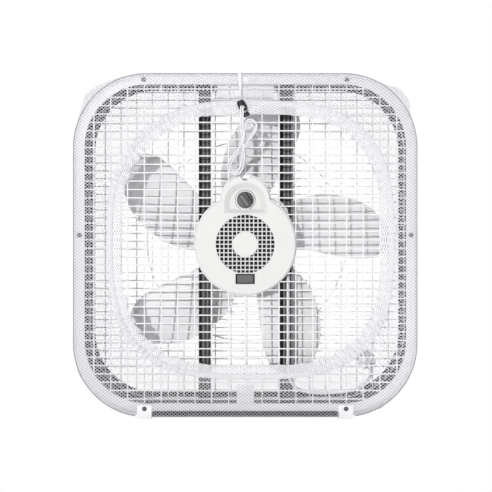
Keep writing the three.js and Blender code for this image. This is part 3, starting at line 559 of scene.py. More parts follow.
# ---- Rear grille ----
# A second white moulding behind the impeller, with a bar on its centre line, a disc over the shaft's
# end, a thin round rib, and a pad that the supply lead's gland goes through.
rear_low, rear_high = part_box("rear_grille")
gland_low, gland_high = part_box("cord_gland")
gland = Vector(((gland_low.x + gland_high.x) / 2, 0, (gland_low.z + gland_high.z) / 2))
rear_front, rear_back = rear_low.y, rear_high.y


def circle(radius, steps=64):
    return arc(radius, 0, 2 * math.pi, steps)[:-1]


def lathe(name, profile, centre, steps=64, closed=False):
    """A turned piece: a profile of (radius, y) points, from the axis to the axis unless it is closed."""
    return swept_ring(name, lambda radius: circle(radius, steps), profile, centre, closed)


def disc_profile(radius, y_front, y_back, edge):
    """The profile of a round plate with softened edges."""
    return [
        (0, y_front), (radius - edge, y_front), (radius, y_front + edge),
        (radius, y_back - edge), (radius - edge, y_back), (0, y_back),
    ]


work = bmesh.new()
disc_radius = 44 * mm
gland_radius = 12 * mm
rib_radius = 166 * mm
gland_hole = [(x + gland.x - hub.x, z + gland.z - hub.z) for x, z in circle(gland_radius)]
for axis, pitch, proud in ((0, upright_pitch, 0), (1, cross_pitch, 0.15 * mm)):
    add_bars(
        work, pitch, 0, axis, rounded_square(3 * mm), [circle(disc_radius - 2 * mm), gland_hole],
        rear_front + proud, rear_back - proud, bar_width, band_middle,
    )
rear_bars = worked_piece("rear_grille_bars", work)
smooth_by_angle(rear_bars)
rear_inset = 3.8 * mm
rear_frame_profile = [
    (2 * mm, rear_front), (rear_inset - soft_edge, rear_front), (rear_inset, rear_front + soft_edge),
    (rear_inset, rear_back), (2 * mm, rear_back),
]
rear_frame = swept_ring("rear_grille_frame", rounded_square, rear_frame_profile, band_middle)
rear_disc = lathe(
    "rear_grille_disc", disc_profile(disc_radius, rear_front, rear_back, 0.8 * mm), hub
)
rib_half = 1 * mm
rib_front, rib_back = rear_front + 0.3 * mm, rear_back - 0.3 * mm
rib_profile = [(-rib_half, rib_front), (rib_half, rib_front), (rib_half, rib_back), (-rib_half, rib_back)]
rear_rib = swept_ring("rear_grille_rib", lambda inset: circle(rib_radius - inset, 96), rib_profile, hub)
pad_profile = [(-3 * mm, rear_front), (4.6 * mm, rear_front), (4.6 * mm, rear_back), (-3 * mm, rear_back)]
gland_pad = swept_ring("gland_pad", lambda inset: circle(gland_radius - inset, 40), pad_profile, gland)
fit(rear_bars, white_plastic, replaces=["rear_grille"])
for piece in (rear_frame, rear_disc, rear_rib, gland_pad):
    fit(piece, white_plastic)

# ---- Hub cover ----
# A grey moulding over the motor: a disc with a pod for the switch above it, rolled edges, a sunk arch
# round the knob, a square-hole vent round a plain middle, and a pocket for the badge.
cover_low, cover_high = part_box("hub_cover")
cover_front, cover_back = cover_low.y, cover_high.y
cover_wall = 2.2 * mm
cover_roll = 2.6 * mm
plate_inset = cover_roll + 0.6 * mm
pod = hub + Vector((0, 0, pod_rise))
arch_centre = pod - Vector((0, 0, 5.2 * mm))
vent_outer = 45.4 * mm
vent_inner = 19.6 * mm
vent_pitch = 6.57 * mm
badge_low, badge_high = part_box("badge_plate")
badge_room = 0.1 * mm


def turn_and_move(piece, angle, axis, centre):
    """Turns a piece's mesh about the origin and moves it to a centre."""
    piece.data.transform(Matrix.Rotation(angle, 4, axis))
    piece.data.transform(Matrix.Translation(centre))


def flat_plate(name, outline, holes, y_front, y_back, centre):
    """A flat plate with holes, from a filled curve that is thickened between two faces."""
    curve = bpy.data.curves.new(name, "CURVE")
    curve.dimensions = "2D"
    curve.fill_mode = "BOTH"
    curve.extrude = (y_back - y_front) / 2
    for loop in [outline, *holes]:
        spline = curve.splines.new("POLY")
        spline.points.add(len(loop) - 1)
        for knot, (x, z) in zip(spline.points, loop):
            knot.co = (x, z, 0, 1)
        spline.use_cyclic_u = True
    piece = new_piece(name, curve)
    choose(piece)
    bpy.ops.object.convert(target="MESH")
    turn_and_move(piece, math.pi / 2, "X", (centre.x, (y_front + y_back) / 2, centre.z))
    outwards(piece)
    smooth_by_angle(piece)
    return piece


def arch(radius, foot, steps=24):
    """An arch's outline about its crown's centre: a half circle on a foot."""
    return [(-radius, -foot), (radius, -foot), *arc(radius, 0, math.pi, steps)]


def about(points, centre):
    """Outline points moved from one centre to the hub's."""
    return [(x + centre.x - hub.x, z + centre.z - hub.z) for x, z in points]


def rectangle(low, high, grow=0.0):
    """A rectangle's outline between two corners, about the hub, grown all round."""
    x0, x1 = low.x - grow - hub.x, high.x + grow - hub.x
    z0, z1 = low.z - grow - hub.z, high.z + grow - hub.z
    return [(x0, z0), (x1, z0), (x1, z1), (x0, z1)]


boss_centre = pod + Vector((0, 0, pod_radius - 1.5 * mm))
notch_radius = 7 * mm
recess_floor = cover_front + 6 * mm
face_arch = (32.4 * mm, 15.2 * mm)
floor_arch = (24.5 * mm, 9.3 * mm)
cover_plate = flat_plate(
    "hub_cover_plate",
    straight_sides(cover_outline(plate_inset, 40)),
    [
        about(arch(*face_arch), arch_centre),
        circle(vent_outer, 72),
        rectangle(badge_low, badge_high, badge_room),
    ],
    cover_front, cover_front + cover_wall, hub,
)
cover_roll_profile = (
    rolled(cover_roll, 0, cover_front, cover_front + cover_roll, 5)
    + [(plate_inset, cover_front), (plate_inset, cover_front + cover_wall),
       (cover_wall, cover_front + cover_wall + 1 * mm), (cover_wall, cover_back), (0, cover_back)]
)
cover_skirt = swept_ring(
    "hub_cover_skirt", lambda inset: straight_sides(cover_outline(inset, 40)), cover_roll_profile, hub
)
for piece in (cover_plate, cover_skirt):
    bpy.ops.mesh.primitive_cylinder_add(radius=notch_radius, depth=30 * mm, vertices=40)
    notch = bpy.context.object
    turn_and_move(notch, math.pi / 2, "X", (boss_centre.x, cover_front + 5 * mm, boss_centre.z))
    cut_out(piece, notch)
    smooth_by_angle(piece)


def arch_at(size, grow, y):
    radius, foot = size
    return [
        Vector((arch_centre.x + x, y, arch_centre.z + z)) for x, z in arch(radius + grow, foot + grow)
    ]


lip = 0.8 * mm
recess_wall = loft(
    "knob_recess_wall",
    [
        arch_at(face_arch, 0.2 * mm, cover_front + 0.02 * mm),
        arch_at(face_arch, -0.6 * mm, cover_front + 0.5 * mm),
        arch_at(floor_arch, 0.5 * mm, recess_floor - 0.4 * mm),
        arch_at(floor_arch, -0.4 * mm, recess_floor),
        arch_at(floor_arch, -0.4 * mm, recess_floor + cover_wall),
        arch_at(floor_arch, 2.2 * mm, recess_floor + cover_wall),
        arch_at(face_arch, 1.4 * mm, cover_front + cover_wall),
        arch_at(face_arch, 0.2 * mm, cover_front + 0.02 * mm),
    ],
)
knob_hole = 15.9 * mm
recess_plate = flat_plate(
    "knob_recess_floor",
    about(arch(floor_arch[0] - 0.3 * mm, floor_arch[1] - 0.3 * mm), arch_centre),
    [about(circle(knob_hole, 48), pod)],
    recess_floor, recess_floor + cover_wall, hub,
)
vent_front = cover_front + 0.35 * mm
work = bmesh.new()
vent_web = 1.75 * mm
vent_ring = circle(vent_outer + 0.6 * mm, 72)
vent_hole = circle(vent_inner - 0.6 * mm, 72)
for axis, proud in ((0, 0), (1, 0.06 * mm)):
    add_bars(
        work, vent_pitch, 0, axis, vent_ring, [vent_hole],
        vent_front + proud, vent_front + 2.6 * mm - proud, vent_web, hub,
    )
vent_bars = worked_piece("hub_cover_vent", work)
smooth_by_angle(vent_bars)
vent_middle = lathe(
    "hub_cover_middle", disc_profile(vent_inner, cover_front, cover_front + cover_wall, 0.4 * mm), hub
)
badge_frame = loft(
    "badge_frame",
    [
        [Vector((hub.x + x, y, hub.z + z)) for x, z in rectangle(badge_low, badge_high, grow)]
        for grow, y in (
            (1.9 * mm, cover_front + 0.05 * mm), (1.4 * mm, cover_front - 0.5 * mm),
            (0.6 * mm, cover_front - 0.5 * mm), (0.1 * mm, cover_front + 0.1 * mm),
            (0.1 * mm, cover_front + 2 * mm), (1.9 * mm, cover_front + 2 * mm),
            (1.9 * mm, cover_front + 0.05 * mm),
        )
    ],
)
cover_grey = finish("cover_grey", (0.7, 0.7, 0.69), 0.5, cloud=0.03, grain=0.25, grain_mm=0.6)
fit(cover_plate, cover_grey, replaces=["hub_cover"])
for piece in (cover_skirt, recess_wall, recess_plate, vent_bars, vent_middle, badge_frame):
    fit(piece, cover_grey)

# ---- Vent liner (painted shade) ----
# A black sheet behind the vent: painted shade that makes the holes read dark, and keeps the motor from
# showing through them.
liner_front, liner_back = cover_front + 6.2 * mm, cover_front + 6.8 * mm
liner_inner, liner_outer = 17 * mm, 48.5 * mm
liner_profile = [
    (liner_inner, liner_front), (liner_outer, liner_front),
    (liner_outer, liner_back), (liner_inner, liner_back),
]
liner = swept_ring("vent_shade_sheet", lambda radius: circle(radius, 64), liner_profile, hub)
# This black finish is painted shade wherever it is used: behind the vent, round the badge, on the knob and
# under the housing.
shade_black = finish("shade_black", (0.008, 0.008, 0.009), 0.8, cloud=0.2, grain=0.5, grain_mm=0.5)
fit(liner, shade_black)

# ---- Badge ----
# A small plate pressed into its pocket: a satin grey field, left blank, on a black back plate whose edge
# shows round it as painted shade in the pocket.
def stepped_block(name, low, high, edge, y_front, y_back):
    """A flat block with a sloped edge round its front."""
    grown = [(0, y_back), (0, y_front + edge), (edge, y_front)]
    loops = []
    for inset, y in grown:
        loops.append([
            Vector((low.x + inset, y, low.z + inset)), Vector((high.x - inset, y, low.z + inset)),
            Vector((high.x - inset, y, high.z - inset)), Vector((low.x + inset, y, high.z - inset)),
        ])
    points = [p for loop in loops for p in loop]
    return mesh_piece(name, points, [(0, 1, 2, 3), (8, 9, 10, 11)] + quads(3, 4))


# The black back plate is painted shade round the field.
badge_shade_back = stepped_block(
    "badge_shade_plate", badge_low, badge_high, 0.4 * mm, badge_low.y + 0.5 * mm, badge_high.y
)
field_in = Vector((2.2 * mm, 0, 1.6 * mm))
badge_field = stepped_block(
    "badge_field", badge_low + field_in, badge_high - field_in, 0.3 * mm,
    badge_low.y + 0.1 * mm, badge_low.y + 1 * mm,
)
fit(badge_shade_back, shade_black, replaces=["badge_plate"])
badge_grey = finish("badge_grey", (0.045, 0.045, 0.05), 0.35, cloud=0.25, cloud_scale=200, grain=0.2)
fit(badge_field, badge_grey)

# ---- Speed knob ----
# A pressed-on knob: a pale skirt ring, a dark grey dial with fine turning marks, and a grip bar across
# it with a sloped back, turned to its first setting.
knob_low, knob_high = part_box("speed_knob")
knob_front, knob_back = knob_low.y, knob_high.y
dial_y = knob_front + 6 * mm
dial_back = dial_y + 5 * mm
skirt_radius = 15.2 * mm
dial_radius = 13 * mm


skirt_ring = lathe(
    "knob_skirt",
    [
        (0, dial_back - 0.2 * mm), (14.4 * mm, dial_back - 0.2 * mm), (15 * mm, dial_back + 0.1 * mm),
        (skirt_radius, dial_back + 0.6 * mm), (skirt_radius, knob_back), (0, knob_back),
    ],
    pod,
)
dial = lathe(
    "knob_dial",
    [
        (0, dial_y), (12 * mm, dial_y), (12.7 * mm, dial_y + 0.3 * mm), (dial_radius, dial_y + 1 * mm),
        (dial_radius, dial_back), (0, dial_back),
    ],
    pod,
)
grip_angle = math.radians(53)
work = bmesh.new()
rows = []
grip_steps = 12
grip_reach, grip_round = 12.6 * mm, 12.7 * mm
for step in range(grip_steps + 1):
    share = step / grip_steps
    reach = grip_reach * (2 * share - 1)
    bulge = math.sqrt(max(0, 1 - (reach / grip_round) ** 2))
    half = min(6.2 * mm, 12.4 * mm * bulge + 0.1 * mm)
    rise = 6 * mm * min(1, 0.72 + 0.5 * bulge) * (1 if 0 < share < 1 else 0.86)
    section = [
        (-half, 0.4 * mm), (-half, -0.72 * rise), (-0.8 * half, -0.96 * rise), (-0.4 * half, -rise),
        (0.35 * half, -0.97 * rise), (0.62 * half, -0.86 * rise), (0.7 * half, -0.5 * rise),
        (0.74 * half, 0.4 * mm),
    ]
    rows.append([work.verts.new((reach, dial_y + y, across)) for across, y in section])
for a, b in zip(rows, rows[1:]):
    for i in range(len(a)):
        j = (i + 1) % len(a)
        work.faces.new((a[i], a[j], b[j], b[i]))
work.faces.new(rows[0])
work.faces.new(rows[-1][::-1])
knob_grip = worked_piece("knob_grip", work)
turn_and_move(knob_grip, grip_angle, "Y", (pod.x, 0, pod.z))
outwards(knob_grip)
smooth_by_angle(knob_grip, 50)
knob_grey = finish("knob_grey", (0.085, 0.085, 0.09), 0.36, cloud=0.1)
tree = knob_grey.node_tree
place = add_node(tree, "TexCoord").outputs["Object"]
brush_turn = {"Rotation": (0, -grip_angle, 0), "Scale": (160, 600, 2600), "Vector": place}
brush_place = add_node(tree, "Mapping", brush_turn).outputs["Vector"]
brush = add_node(tree, "TexNoise", {"Scale": 1, "Detail": 3, "Vector": brush_place}).outputs["Fac"]
add_bump(tree, tree.nodes["Principled BSDF"], brush, 0.5, 0.2 * mm)
fit(dial, knob_grey, "knob", replaces=["speed_knob"])
fit(knob_grip, knob_grey, "knob")
# A black strip across the dial beside the grip: a painted shadow of the grip bar's edge.
knob_shadow_strip = cutter((-10 * mm, dial_y - 0.15 * mm, -1 * mm), (10 * mm, dial_y + 0.6 * mm, 1 * mm))
knob_shadow_strip.name = "knob_shadow_strip"
knob_shadow_strip.data.transform(Matrix.Translation((0, 0, 7.4 * mm)))
turn_and_move(knob_shadow_strip, grip_angle, "Y", (pod.x, 0, pod.z))
fit(knob_shadow_strip, shade_black, "knob")
# A black disc behind the skirt fills the gap round the knob: painted shade in the gap.
gap_radius = 16.6 * mm
gap_front, gap_back = knob_back - 0.3 * mm, knob_back + 0.2 * mm
knob_gap_shade = lathe(
    "knob_gap_shade", [(0, gap_front), (gap_radius, gap_front), (gap_radius, gap_back), (0, gap_back)], pod
)
fit(knob_gap_shade, shade_black)
knob_white = finish("knob_white", (0.8, 0.8, 0.8), 0.35, cloud=0.03, grain=0.1)
fit(skirt_ring, knob_white, "knob")

# ---- Motor struts ----
# Two dark galvanised channels from wall to wall that hold the motor, open to the front, each with two
# ribs rolled along its web and a hem along one flange, coloured a lighter grey as painted light where they
# catch the lamp.
strut_dark = finish("strut_dark", (0.022, 0.022, 0.025), 0.5, cloud=0.3, cloud_scale=30)
# The ribs' lighter grey is a lit copy of the channel's steel: painted light.
strut_lit_grey = finish("strut_lit_grey", (0.17, 0.17, 0.18), 0.45, metallic=0.2, cloud=0.35, cloud_scale=60)
steel_zinc = finish("steel_zinc", (0.55, 0.55, 0.57), 0.34, metallic=0.9, cloud=0.15, cloud_scale=90)


def paint_node(name, material):
    """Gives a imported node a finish, and leaves its shape alone."""
    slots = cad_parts[name].data.materials
    slots.clear()
    slots.append(material)


for side in ("left", "right"):
    node = side + "_motor_strut"
    low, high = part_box(node)
    x_middle = (low.x + high.x) / 2
    web_y = high.y - steel
    work = bmesh.new()
    rib_low = low.z + 2 * mm - hub.z
    rib_high = high.z - 2 * mm - hub.z
    for at, width, y_front, y_back in (
        (-2.8 * mm, 3.8 * mm, web_y - 5 * mm, web_y + 0.2 * mm),
        (3.8 * mm, 3.6 * mm, web_y - 5 * mm, web_y + 0.2 * mm),
        (9.2 * mm, 3 * mm, low.y - 0.5 * mm, low.y + 1.6 * mm),
    ):
        add_bar(work, 0, x_middle - hub.x + at, rib_low, rib_high, y_front, y_back, width, hub)
    ribs = worked_piece(side + "_strut_ribs", work)
    smooth_by_angle(ribs)
    fit(ribs, strut_lit_grey)
    paint_node(node, strut_dark)

# ---- Motor, switch and wiring ----
# The motor's zinced shells, its laminated core and copper windings, bronze bearings and screws, the
# capacitor and switch in black cases, and the lead in one strut: inner pieces with their true shapes.
lamination = finish("lamination_steel", (0.2, 0.2, 0.21), 0.5, metallic=0.8, cloud=0.2, cloud_scale=300)
copper = finish("copper_wire", (0.5, 0.2, 0.07), 0.35, metallic=0.7, cloud=0.3, cloud_scale=700)
bronze = finish("bearing_bronze", (0.4, 0.27, 0.11), 0.4, metallic=0.85, cloud=0.15, cloud_scale=200)
case_black = finish("case_black", (0.018, 0.018, 0.02), 0.42, cloud=0.15, grain=0.3, grain_mm=0.6)
inner_finishes = {
    "motor_mount_plate": steel_zinc, "motor_front_shell": steel_zinc, "motor_rear_shell": steel_zinc,
    "motor_screw_1": steel_zinc, "motor_screw_2": steel_zinc, "rotor_shaft": steel_zinc,
    "switch_shaft": steel_zinc, "impeller_clip": steel_zinc, "stator_core": lamination,
    "rotor_core": lamination, "stator_winding": copper, "front_bearing": bronze,
    "rear_bearing": bronze, "run_capacitor": case_black, "speed_switch": case_black,
    "supply_lead": white_plastic, "cord_lock_spring": steel_zinc,
}
for name, made in inner_finishes.items():
    paint_node(name, made)

# ---- Impeller ----
# One white moulding: a cup-shaped hub with radial ribs inside it and a boss, and five broad paddles.
# Each paddle's lower edge lies to the rear and runs almost straight out; its upper edge sweeps in.
impeller_low, impeller_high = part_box("impeller")
paddle_middle = (impeller_low.y + impeller_high.y) / 2
core_radius = 44 * mm
hub_front = paddle_middle - 12.5 * mm
hub_back = paddle_middle + 12.5 * mm
paddle_edges = [
    (42.8, -16, 37), (78, -15.2, 35.5), (105, -16.4, 32.5), (132, -17.2, 27), (164, -17.6, 19.5),
    (193, -17.2, 12.5), (212, -15.8, 6.5), (225, -13.4, 0.5), (231.5, -10.6, -3), (234, -8, -5.6),
]
paddle_depth = 36 * mm
paddle_bow = 5 * mm
paddle_wall = 2 * mm
across_steps = 14


def paddle_edge(radius, column):
    """The angle of a paddle's edge at a radius, in degrees, smooth between its stations."""
    for low, high in zip(paddle_edges, paddle_edges[1:]):
        if radius <= high[0] + 1e-9:
            share = (radius - low[0]) / (high[0] - low[0])
            return low[column] + (high[column] - low[column]) * share
    return paddle_edges[-1][column]


root_radius, bend_radius = 42.8, 225
radii = [root_radius + (bend_radius - root_radius) * i / 17 for i in range(18)]
radii += [228, 230, 231.5, 233, 233.7, 234]
grid = []
for radius in radii:
    low_edge = paddle_edge(radius, 1)
    high_edge = paddle_edge(radius, 2)
    row = []
    for step in range(across_steps + 1):
        u = step / across_steps
        angle = math.radians(low_edge + (high_edge - low_edge) * u)
        bow = paddle_bow * (1 - (2 * u - 1) ** 2)
        y = paddle_middle + paddle_depth / 2 * (1 - 2 * u) + bow - 2.5 * mm
        row.append(Vector((radius * mm * math.cos(angle), y, radius * mm * math.sin(angle))))
    grid.append(row)
for _ in range(2):
    for step in range(across_steps + 1):
        column = [grid[i][step].copy() for i in range(len(grid))]
        for i in range(1, len(grid) - 1):
            grid[i][step] = (column[i - 1] + 2 * column[i] + column[i + 1]) / 4
paddle_faces = quads(len(grid), across_steps + 1, around=False)
paddle_count = 5
first_paddle = 8.5
paddles = []
for index in range(paddle_count):
    turn = Matrix.Rotation(-math.radians(first_paddle + 360 / paddle_count * index), 4, "Y")
    points = [hub + turn @ p for row in grid for p in row]
    paddle = mesh_piece(f"impeller_paddle_{index + 1}", points, paddle_faces, smooth=False)
    apply(paddle, "SOLIDIFY", thickness=paddle_wall, offset=0)
    apply(paddle, "BEVEL", width=0.7 * mm, segments=2, limit_method="ANGLE", angle_limit=math.radians(50))
    smooth_by_angle(paddle, 40)
    paddles.append(paddle)
impeller_hub = lathe(
    "impeller_hub",
    [
        (4.3 * mm, hub_front), (38 * mm, hub_front), (41.5 * mm, hub_front + 0.6 * mm),
        (43.4 * mm, hub_front + 2.2 * mm), (core_radius, hub_front + 4.5 * mm),
        (core_radius, hub_back - 0.6 * mm), (core_radius - 0.6 * mm, hub_back),
        (core_radius - 2 * mm, hub_back), (core_radius - 2.5 * mm, hub_back - 0.6 * mm),
        (core_radius - 2.7 * mm, hub_front + 3 * mm), (10 * mm, hub_front + 3 * mm),
        (9.6 * mm, hub_back - 0.6 * mm), (9 * mm, hub_back), (4.3 * mm, hub_back),
    ],
    hub, closed=True,
)
work = bmesh.new()
fin_count = 10
first_fin = 26.5
for index in range(fin_count):
    turn = Matrix.Rotation(-math.radians(360 / fin_count * index + first_fin), 4, "Y")
    corners = []
    for r in (9.2 * mm, 41.6 * mm):
        for t in (-0.8 * mm, 0.8 * mm):
            for y in (hub_front + 2.8 * mm, hub_back - (3 * mm if r < 20 * mm else 6 * mm)):
                corners.append(work.verts.new(hub + turn @ Vector((r, 0, t)) + Vector((0, y, 0))))
    for face in ((0, 1, 3, 2), (4, 6, 7, 5), (0, 4, 5, 1), (2, 3, 7, 6), (1, 5, 7, 3), (0, 2, 6, 4)):
        work.faces.new([corners[i] for i in face])
bmesh.ops.recalc_face_normals(work, faces=work.faces)
fins = worked_piece("impeller_hub_fins", work)
impeller_white = finish("impeller_white", (0.86, 0.86, 0.87), 0.42, cloud=0.04, grain=0.12, grain_mm=1.1)
fit(impeller_hub, impeller_white, "rotor", replaces=["impeller"])
for piece in (fins, *paddles):
    fit(piece, impeller_white, "rotor")

# ---- Handle ----
# A white moulded tray let into the top wall, and the bar across it that the hand closes on.
def refined(name, node, edge, segments=3, angle=30):
    """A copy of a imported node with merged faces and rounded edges."""
    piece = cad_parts[node].copy()
    piece.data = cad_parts[node].data.copy()
    piece.name = name
    piece.parent = None
    for key in list(piece.keys()):
        del piece[key]
    bpy.context.scene.collection.objects.link(piece)
    outwards(piece)
    work = bmesh.new()
    work.from_mesh(piece.data)
    bmesh.ops.dissolve_limit(work, angle_limit=math.radians(1), verts=work.verts, edges=work.edges)
    work.to_mesh(piece.data)
    work.free()
    apply(
        piece, "BEVEL", width=edge, segments=segments, limit_method="ANGLE",
        angle_limit=math.radians(angle), harden_normals=False,
    )
    outwards(piece)
    smooth_by_angle(piece)
    return piece


tray_piece = refined("carrying_tray", "handle_tray", 0.6 * mm)
fit(tray_piece, white_plastic, replaces=["handle_tray"])
grip_piece = refined("carrying_grip", "handle_grip", 3 * mm, segments=5)
fit(grip_piece, white_plastic, replaces=["handle_grip"])

# ---- Feet ----
# Two white blocks under the housing, screwed through lugs that stand up over both rims.
for side in ("left", "right"):
    foot = refined(side + "_block_foot", side + "_foot", 1 * mm)
    fit(foot, white_plastic, replaces=[side + "_foot"])

# ---- Tab ----
# A thin white tab over the lower middle of the grille, with a hole for a locking screw.
tab = refined("grille_tab", "grille_clip", 0.3 * mm, segments=2)
fit(tab, white_enamel, replaces=["grille_clip"])

# ---- Rim screws ----
# Dark plated pan-head screws with a cross recess, six in each rim; the lowest two pass through the feet.
screw_head_radius = 3.7 * mm


def pan_head(name):
    """One screw head, with its crown at y = 0 and its cross recess cut in it."""
    head = lathe(
        name,
        [
            (0, 0), (1.6 * mm, 0.06 * mm), (2.8 * mm, 0.4 * mm), (3.4 * mm, 0.9 * mm),
            (screw_head_radius, 1.5 * mm), (1.9 * mm, 1.5 * mm), (1.9 * mm, 9 * mm), (0, 9 * mm),
        ],
        Vector((0, 0, 0)), steps=28,
    )
    for along, across in ((1.9 * mm, 0.36 * mm), (0.36 * mm, 1.9 * mm)):
        cut_out(head, cutter((-along, -1 * mm, -across), (along, 0.95 * mm, across)))
    outwards(head)
    smooth_by_angle(head, 30)
    return head


first_head = pan_head("screw_head")
screws_a_rim = 6
screw_dark = finish("screw_dark", (0.1, 0.1, 0.105), 0.35, metallic=0.3, cloud=0.2, cloud_scale=200)
for end in ("front", "rear"):
    for index in range(1, screws_a_rim + 1):
        node = f"{end}_screw_{index}"
        low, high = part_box(node)
        head = first_head.copy()
        head.data = first_head.data.copy()
        head.name = f"{end}_rim_screw_{index}"
        bpy.context.scene.collection.objects.link(head)
        turn = Matrix.Rotation(math.radians(23 + 31 * index), 4, "Y")
        if end == "rear":
            turn = Matrix.Rotation(math.pi, 4, "Z") @ turn
        crown = low.y if end == "front" else high.y
        middle = Vector(((low.x + high.x) / 2, crown, (low.z + high.z) / 2))
        head.data.transform(Matrix.Translation(middle) @ turn)
        fit(head, screw_dark, replaces=[node])
bpy.data.objects.remove(first_head)

# ---- Gland ----
# The white grommet in the rear grille that the supply lead leaves by.
gland_piece = refined("lead_gland", "cord_gland", 0.8 * mm)
fit(gland_piece, white_plastic, replaces=["cord_gland"])

# ---- Net cover ----
# The bag is knitted white net of fine diamond holes, sewn from a back panel, a band round the side and
# a front flap, which a drawstring gathers over the grille. Its threads are 1 mm wide, so the holes are
# cut by the cloth's own coordinates, which are metres along the cloth.
def net_finish(name, color, cell=(6.2, 4.9), thread=0.185, opaque=0.0, glow=0.6, roughness=0.75):
    """Knitted net: two families of slanting threads, in metres of the cloth's own coordinates."""
    made, tree, shader = new_material(name)
    shader.inputs["Base Color"].default_value = (*color, 1)
    shader.inputs["Roughness"].default_value = roughness
    shader.inputs["Sheen Weight"].default_value = 0.25

    def maths(operation, *values):
        """One step of arithmetic on constants and outputs."""
        return add_node(tree, "Math", dict(enumerate(values)), operation=operation).outputs["Value"]

    lay = add_node(tree, "UVMap", uv_map="cloth").outputs["UV"]
    split = add_node(tree, "SeparateXYZ", {"Vector": lay}).outputs
    across = maths("MULTIPLY", split["X"], 1 / (cell[0] * mm))
    families = []
    for sign in (1, -1):
        along = maths("MULTIPLY_ADD", split["Y"], sign / (cell[1] * mm), across)
        families.append(maths("ABSOLUTE", maths("SUBTRACT", maths("FRACT", along), 0.5)))
    nearest = maths("MINIMUM", *families)
    alpha = maths("LESS_THAN", nearest, thread / 2)
    if opaque:
        alpha = maths("MAXIMUM", alpha, opaque)
    backlit = add_node(tree, "BsdfTranslucent", {"Color": (*color, 1)}).outputs["BSDF"]
    threads = add_node(tree, "MixShader", {"Fac": glow, 1: shader.outputs["BSDF"], 2: backlit})
    hole = add_node(tree, "BsdfTransparent").outputs["BSDF"]
    cut = add_node(tree, "MixShader", {"Fac": alpha, 1: hole, 2: threads.outputs["Shader"]})
    tree.links.new(cut.outputs["Shader"], tree.nodes["Material Output"].inputs["Surface"])
    add_bump(tree, shader, nearest, 0.5, 0.3 * mm, invert=True)
    return made


def cloth_piece(name, rows):
    """A one-layer sheet through rows of ((x, y, z), (u, v)) points, with its cloth coordinates."""
    mesh = bpy.data.meshes.new(name)
    points = [tuple(p) for row in rows for p, _ in row]
    flat = [uv for row in rows for _, uv in row]
    mesh.from_pydata(points, [], quads(len(rows), len(rows[0]), around=False))
    layer = mesh.uv_layers.new(name="cloth")
    for face in mesh.polygons:
        for loop in face.loop_indices:
            layer.data[loop].uv = flat[mesh.loops[loop].vertex_index]
    piece = new_piece(name, mesh)
    choose(piece)
    bpy.ops.object.shade_smooth()
    return piece


net_band_low, net_band_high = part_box("net_side_band")
net_under_low, net_under_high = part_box("net_under_strip")
net_flap_low, net_flap_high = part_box("net_front_flap")
net_back_low, net_back_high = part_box("net_back_panel")
casing_low, casing_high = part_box("net_hem_casing")
net_width = net_band_high.x - net_band_low.x
net_height = net_band_high.z - net_under_low.z
net_radius = corner_radius + 1 * mm
net_middle = Vector((0, 0, (net_band_high.z + net_under_low.z) / 2))
flap_y = net_flap_low.y
casing_half_width = 4.5 * mm
sewn_line = casing_half_width * 0.8
opening_centre = Vector(((casing_low.x + casing_high.x) / 2, 0, (casing_low.z + casing_high.z) / 2))
casing_reach = (
    (casing_high.x - casing_low.x) / 2 - casing_half_width,
    (casing_high.z - casing_low.z) / 2 - casing_half_width,
)
around = 1080
foot_rooms = []
for side in ("left", "right"):
    low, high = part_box(side + "_foot")
    foot_rooms.append((low.x - 1 * mm, high.x + 1 * mm, high.z + 1 * mm))


def gather(turn):
    """How strongly the hem is gathered at an angle: most at the four corners."""
    return 0.22 + 0.78 * abs(math.sin(2 * turn)) ** 1.5


def pleat(turn, folds, start):
    """Uneven pleats round the opening, from -1 to 1."""
    drift = 1.9 * math.sin(5 * turn + start) + 1.3 * math.sin(13 * turn + 2 * start)
    size = 0.72 + 0.28 * math.sin(17 * turn + 3 * start)
    return size * math.sin(folds * turn + drift)


def opening_point(turn, offset):
    """A point (x, z) of the gathered opening, which is pulled in most at its upper left, at a distance
    outside its casing line."""
    c, s = math.cos(turn), math.sin(turn)
    power = 2 / 3 + 0.12 * math.exp(-(((turn % (2 * math.pi) - 2.3) / 0.6) ** 2))
    x = opening_centre.x + (casing_reach[0] + offset) * math.copysign(abs(c) ** power, c)
    z = opening_centre.z + (casing_reach[1] + offset) * math.copysign(abs(s) ** power, s)
    return x, z


def net_edge_point(turn, inset):
    """A point (x, z) of the net's outline, in the direction of a point of the opening."""
    x, z = opening_point(turn, 0)
    direction = Vector((x - opening_centre.x, z - opening_centre.z)).normalized()
    half_x, half_z, radius = net_width / 2 - inset, net_height / 2 - inset, net_radius - inset
    near, far = 0.0, 0.6
    for _ in range(24):
        middle = (near + far) / 2
        x = opening_centre.x + direction.x * middle
        z = opening_centre.z - net_middle.z + direction.y * middle
        over_x = max(abs(x) - half_x + radius, 0)
        over_z = max(abs(z) - half_z + radius, 0)
        inside = abs(x) <= half_x and abs(z) <= half_z and math.hypot(over_x, over_z) <= radius
        near, far = (middle, far) if inside else (near, middle)
    return opening_centre.x + direction.x * near, opening_centre.z + direction.y * near


def without_feet(piece):
    """Takes the faces away where the feet stand."""
    work = bmesh.new()
    work.from_mesh(piece.data)
    gone = []
    for face in work.faces:
        middle = face.calc_center_median()
        if any(x0 < middle.x < x1 and middle.z < top for x0, x1, top in foot_rooms):
            gone.append(face)
    bmesh.ops.delete(work, geom=gone, context="FACES")
    work.to_mesh(piece.data)
    work.free()


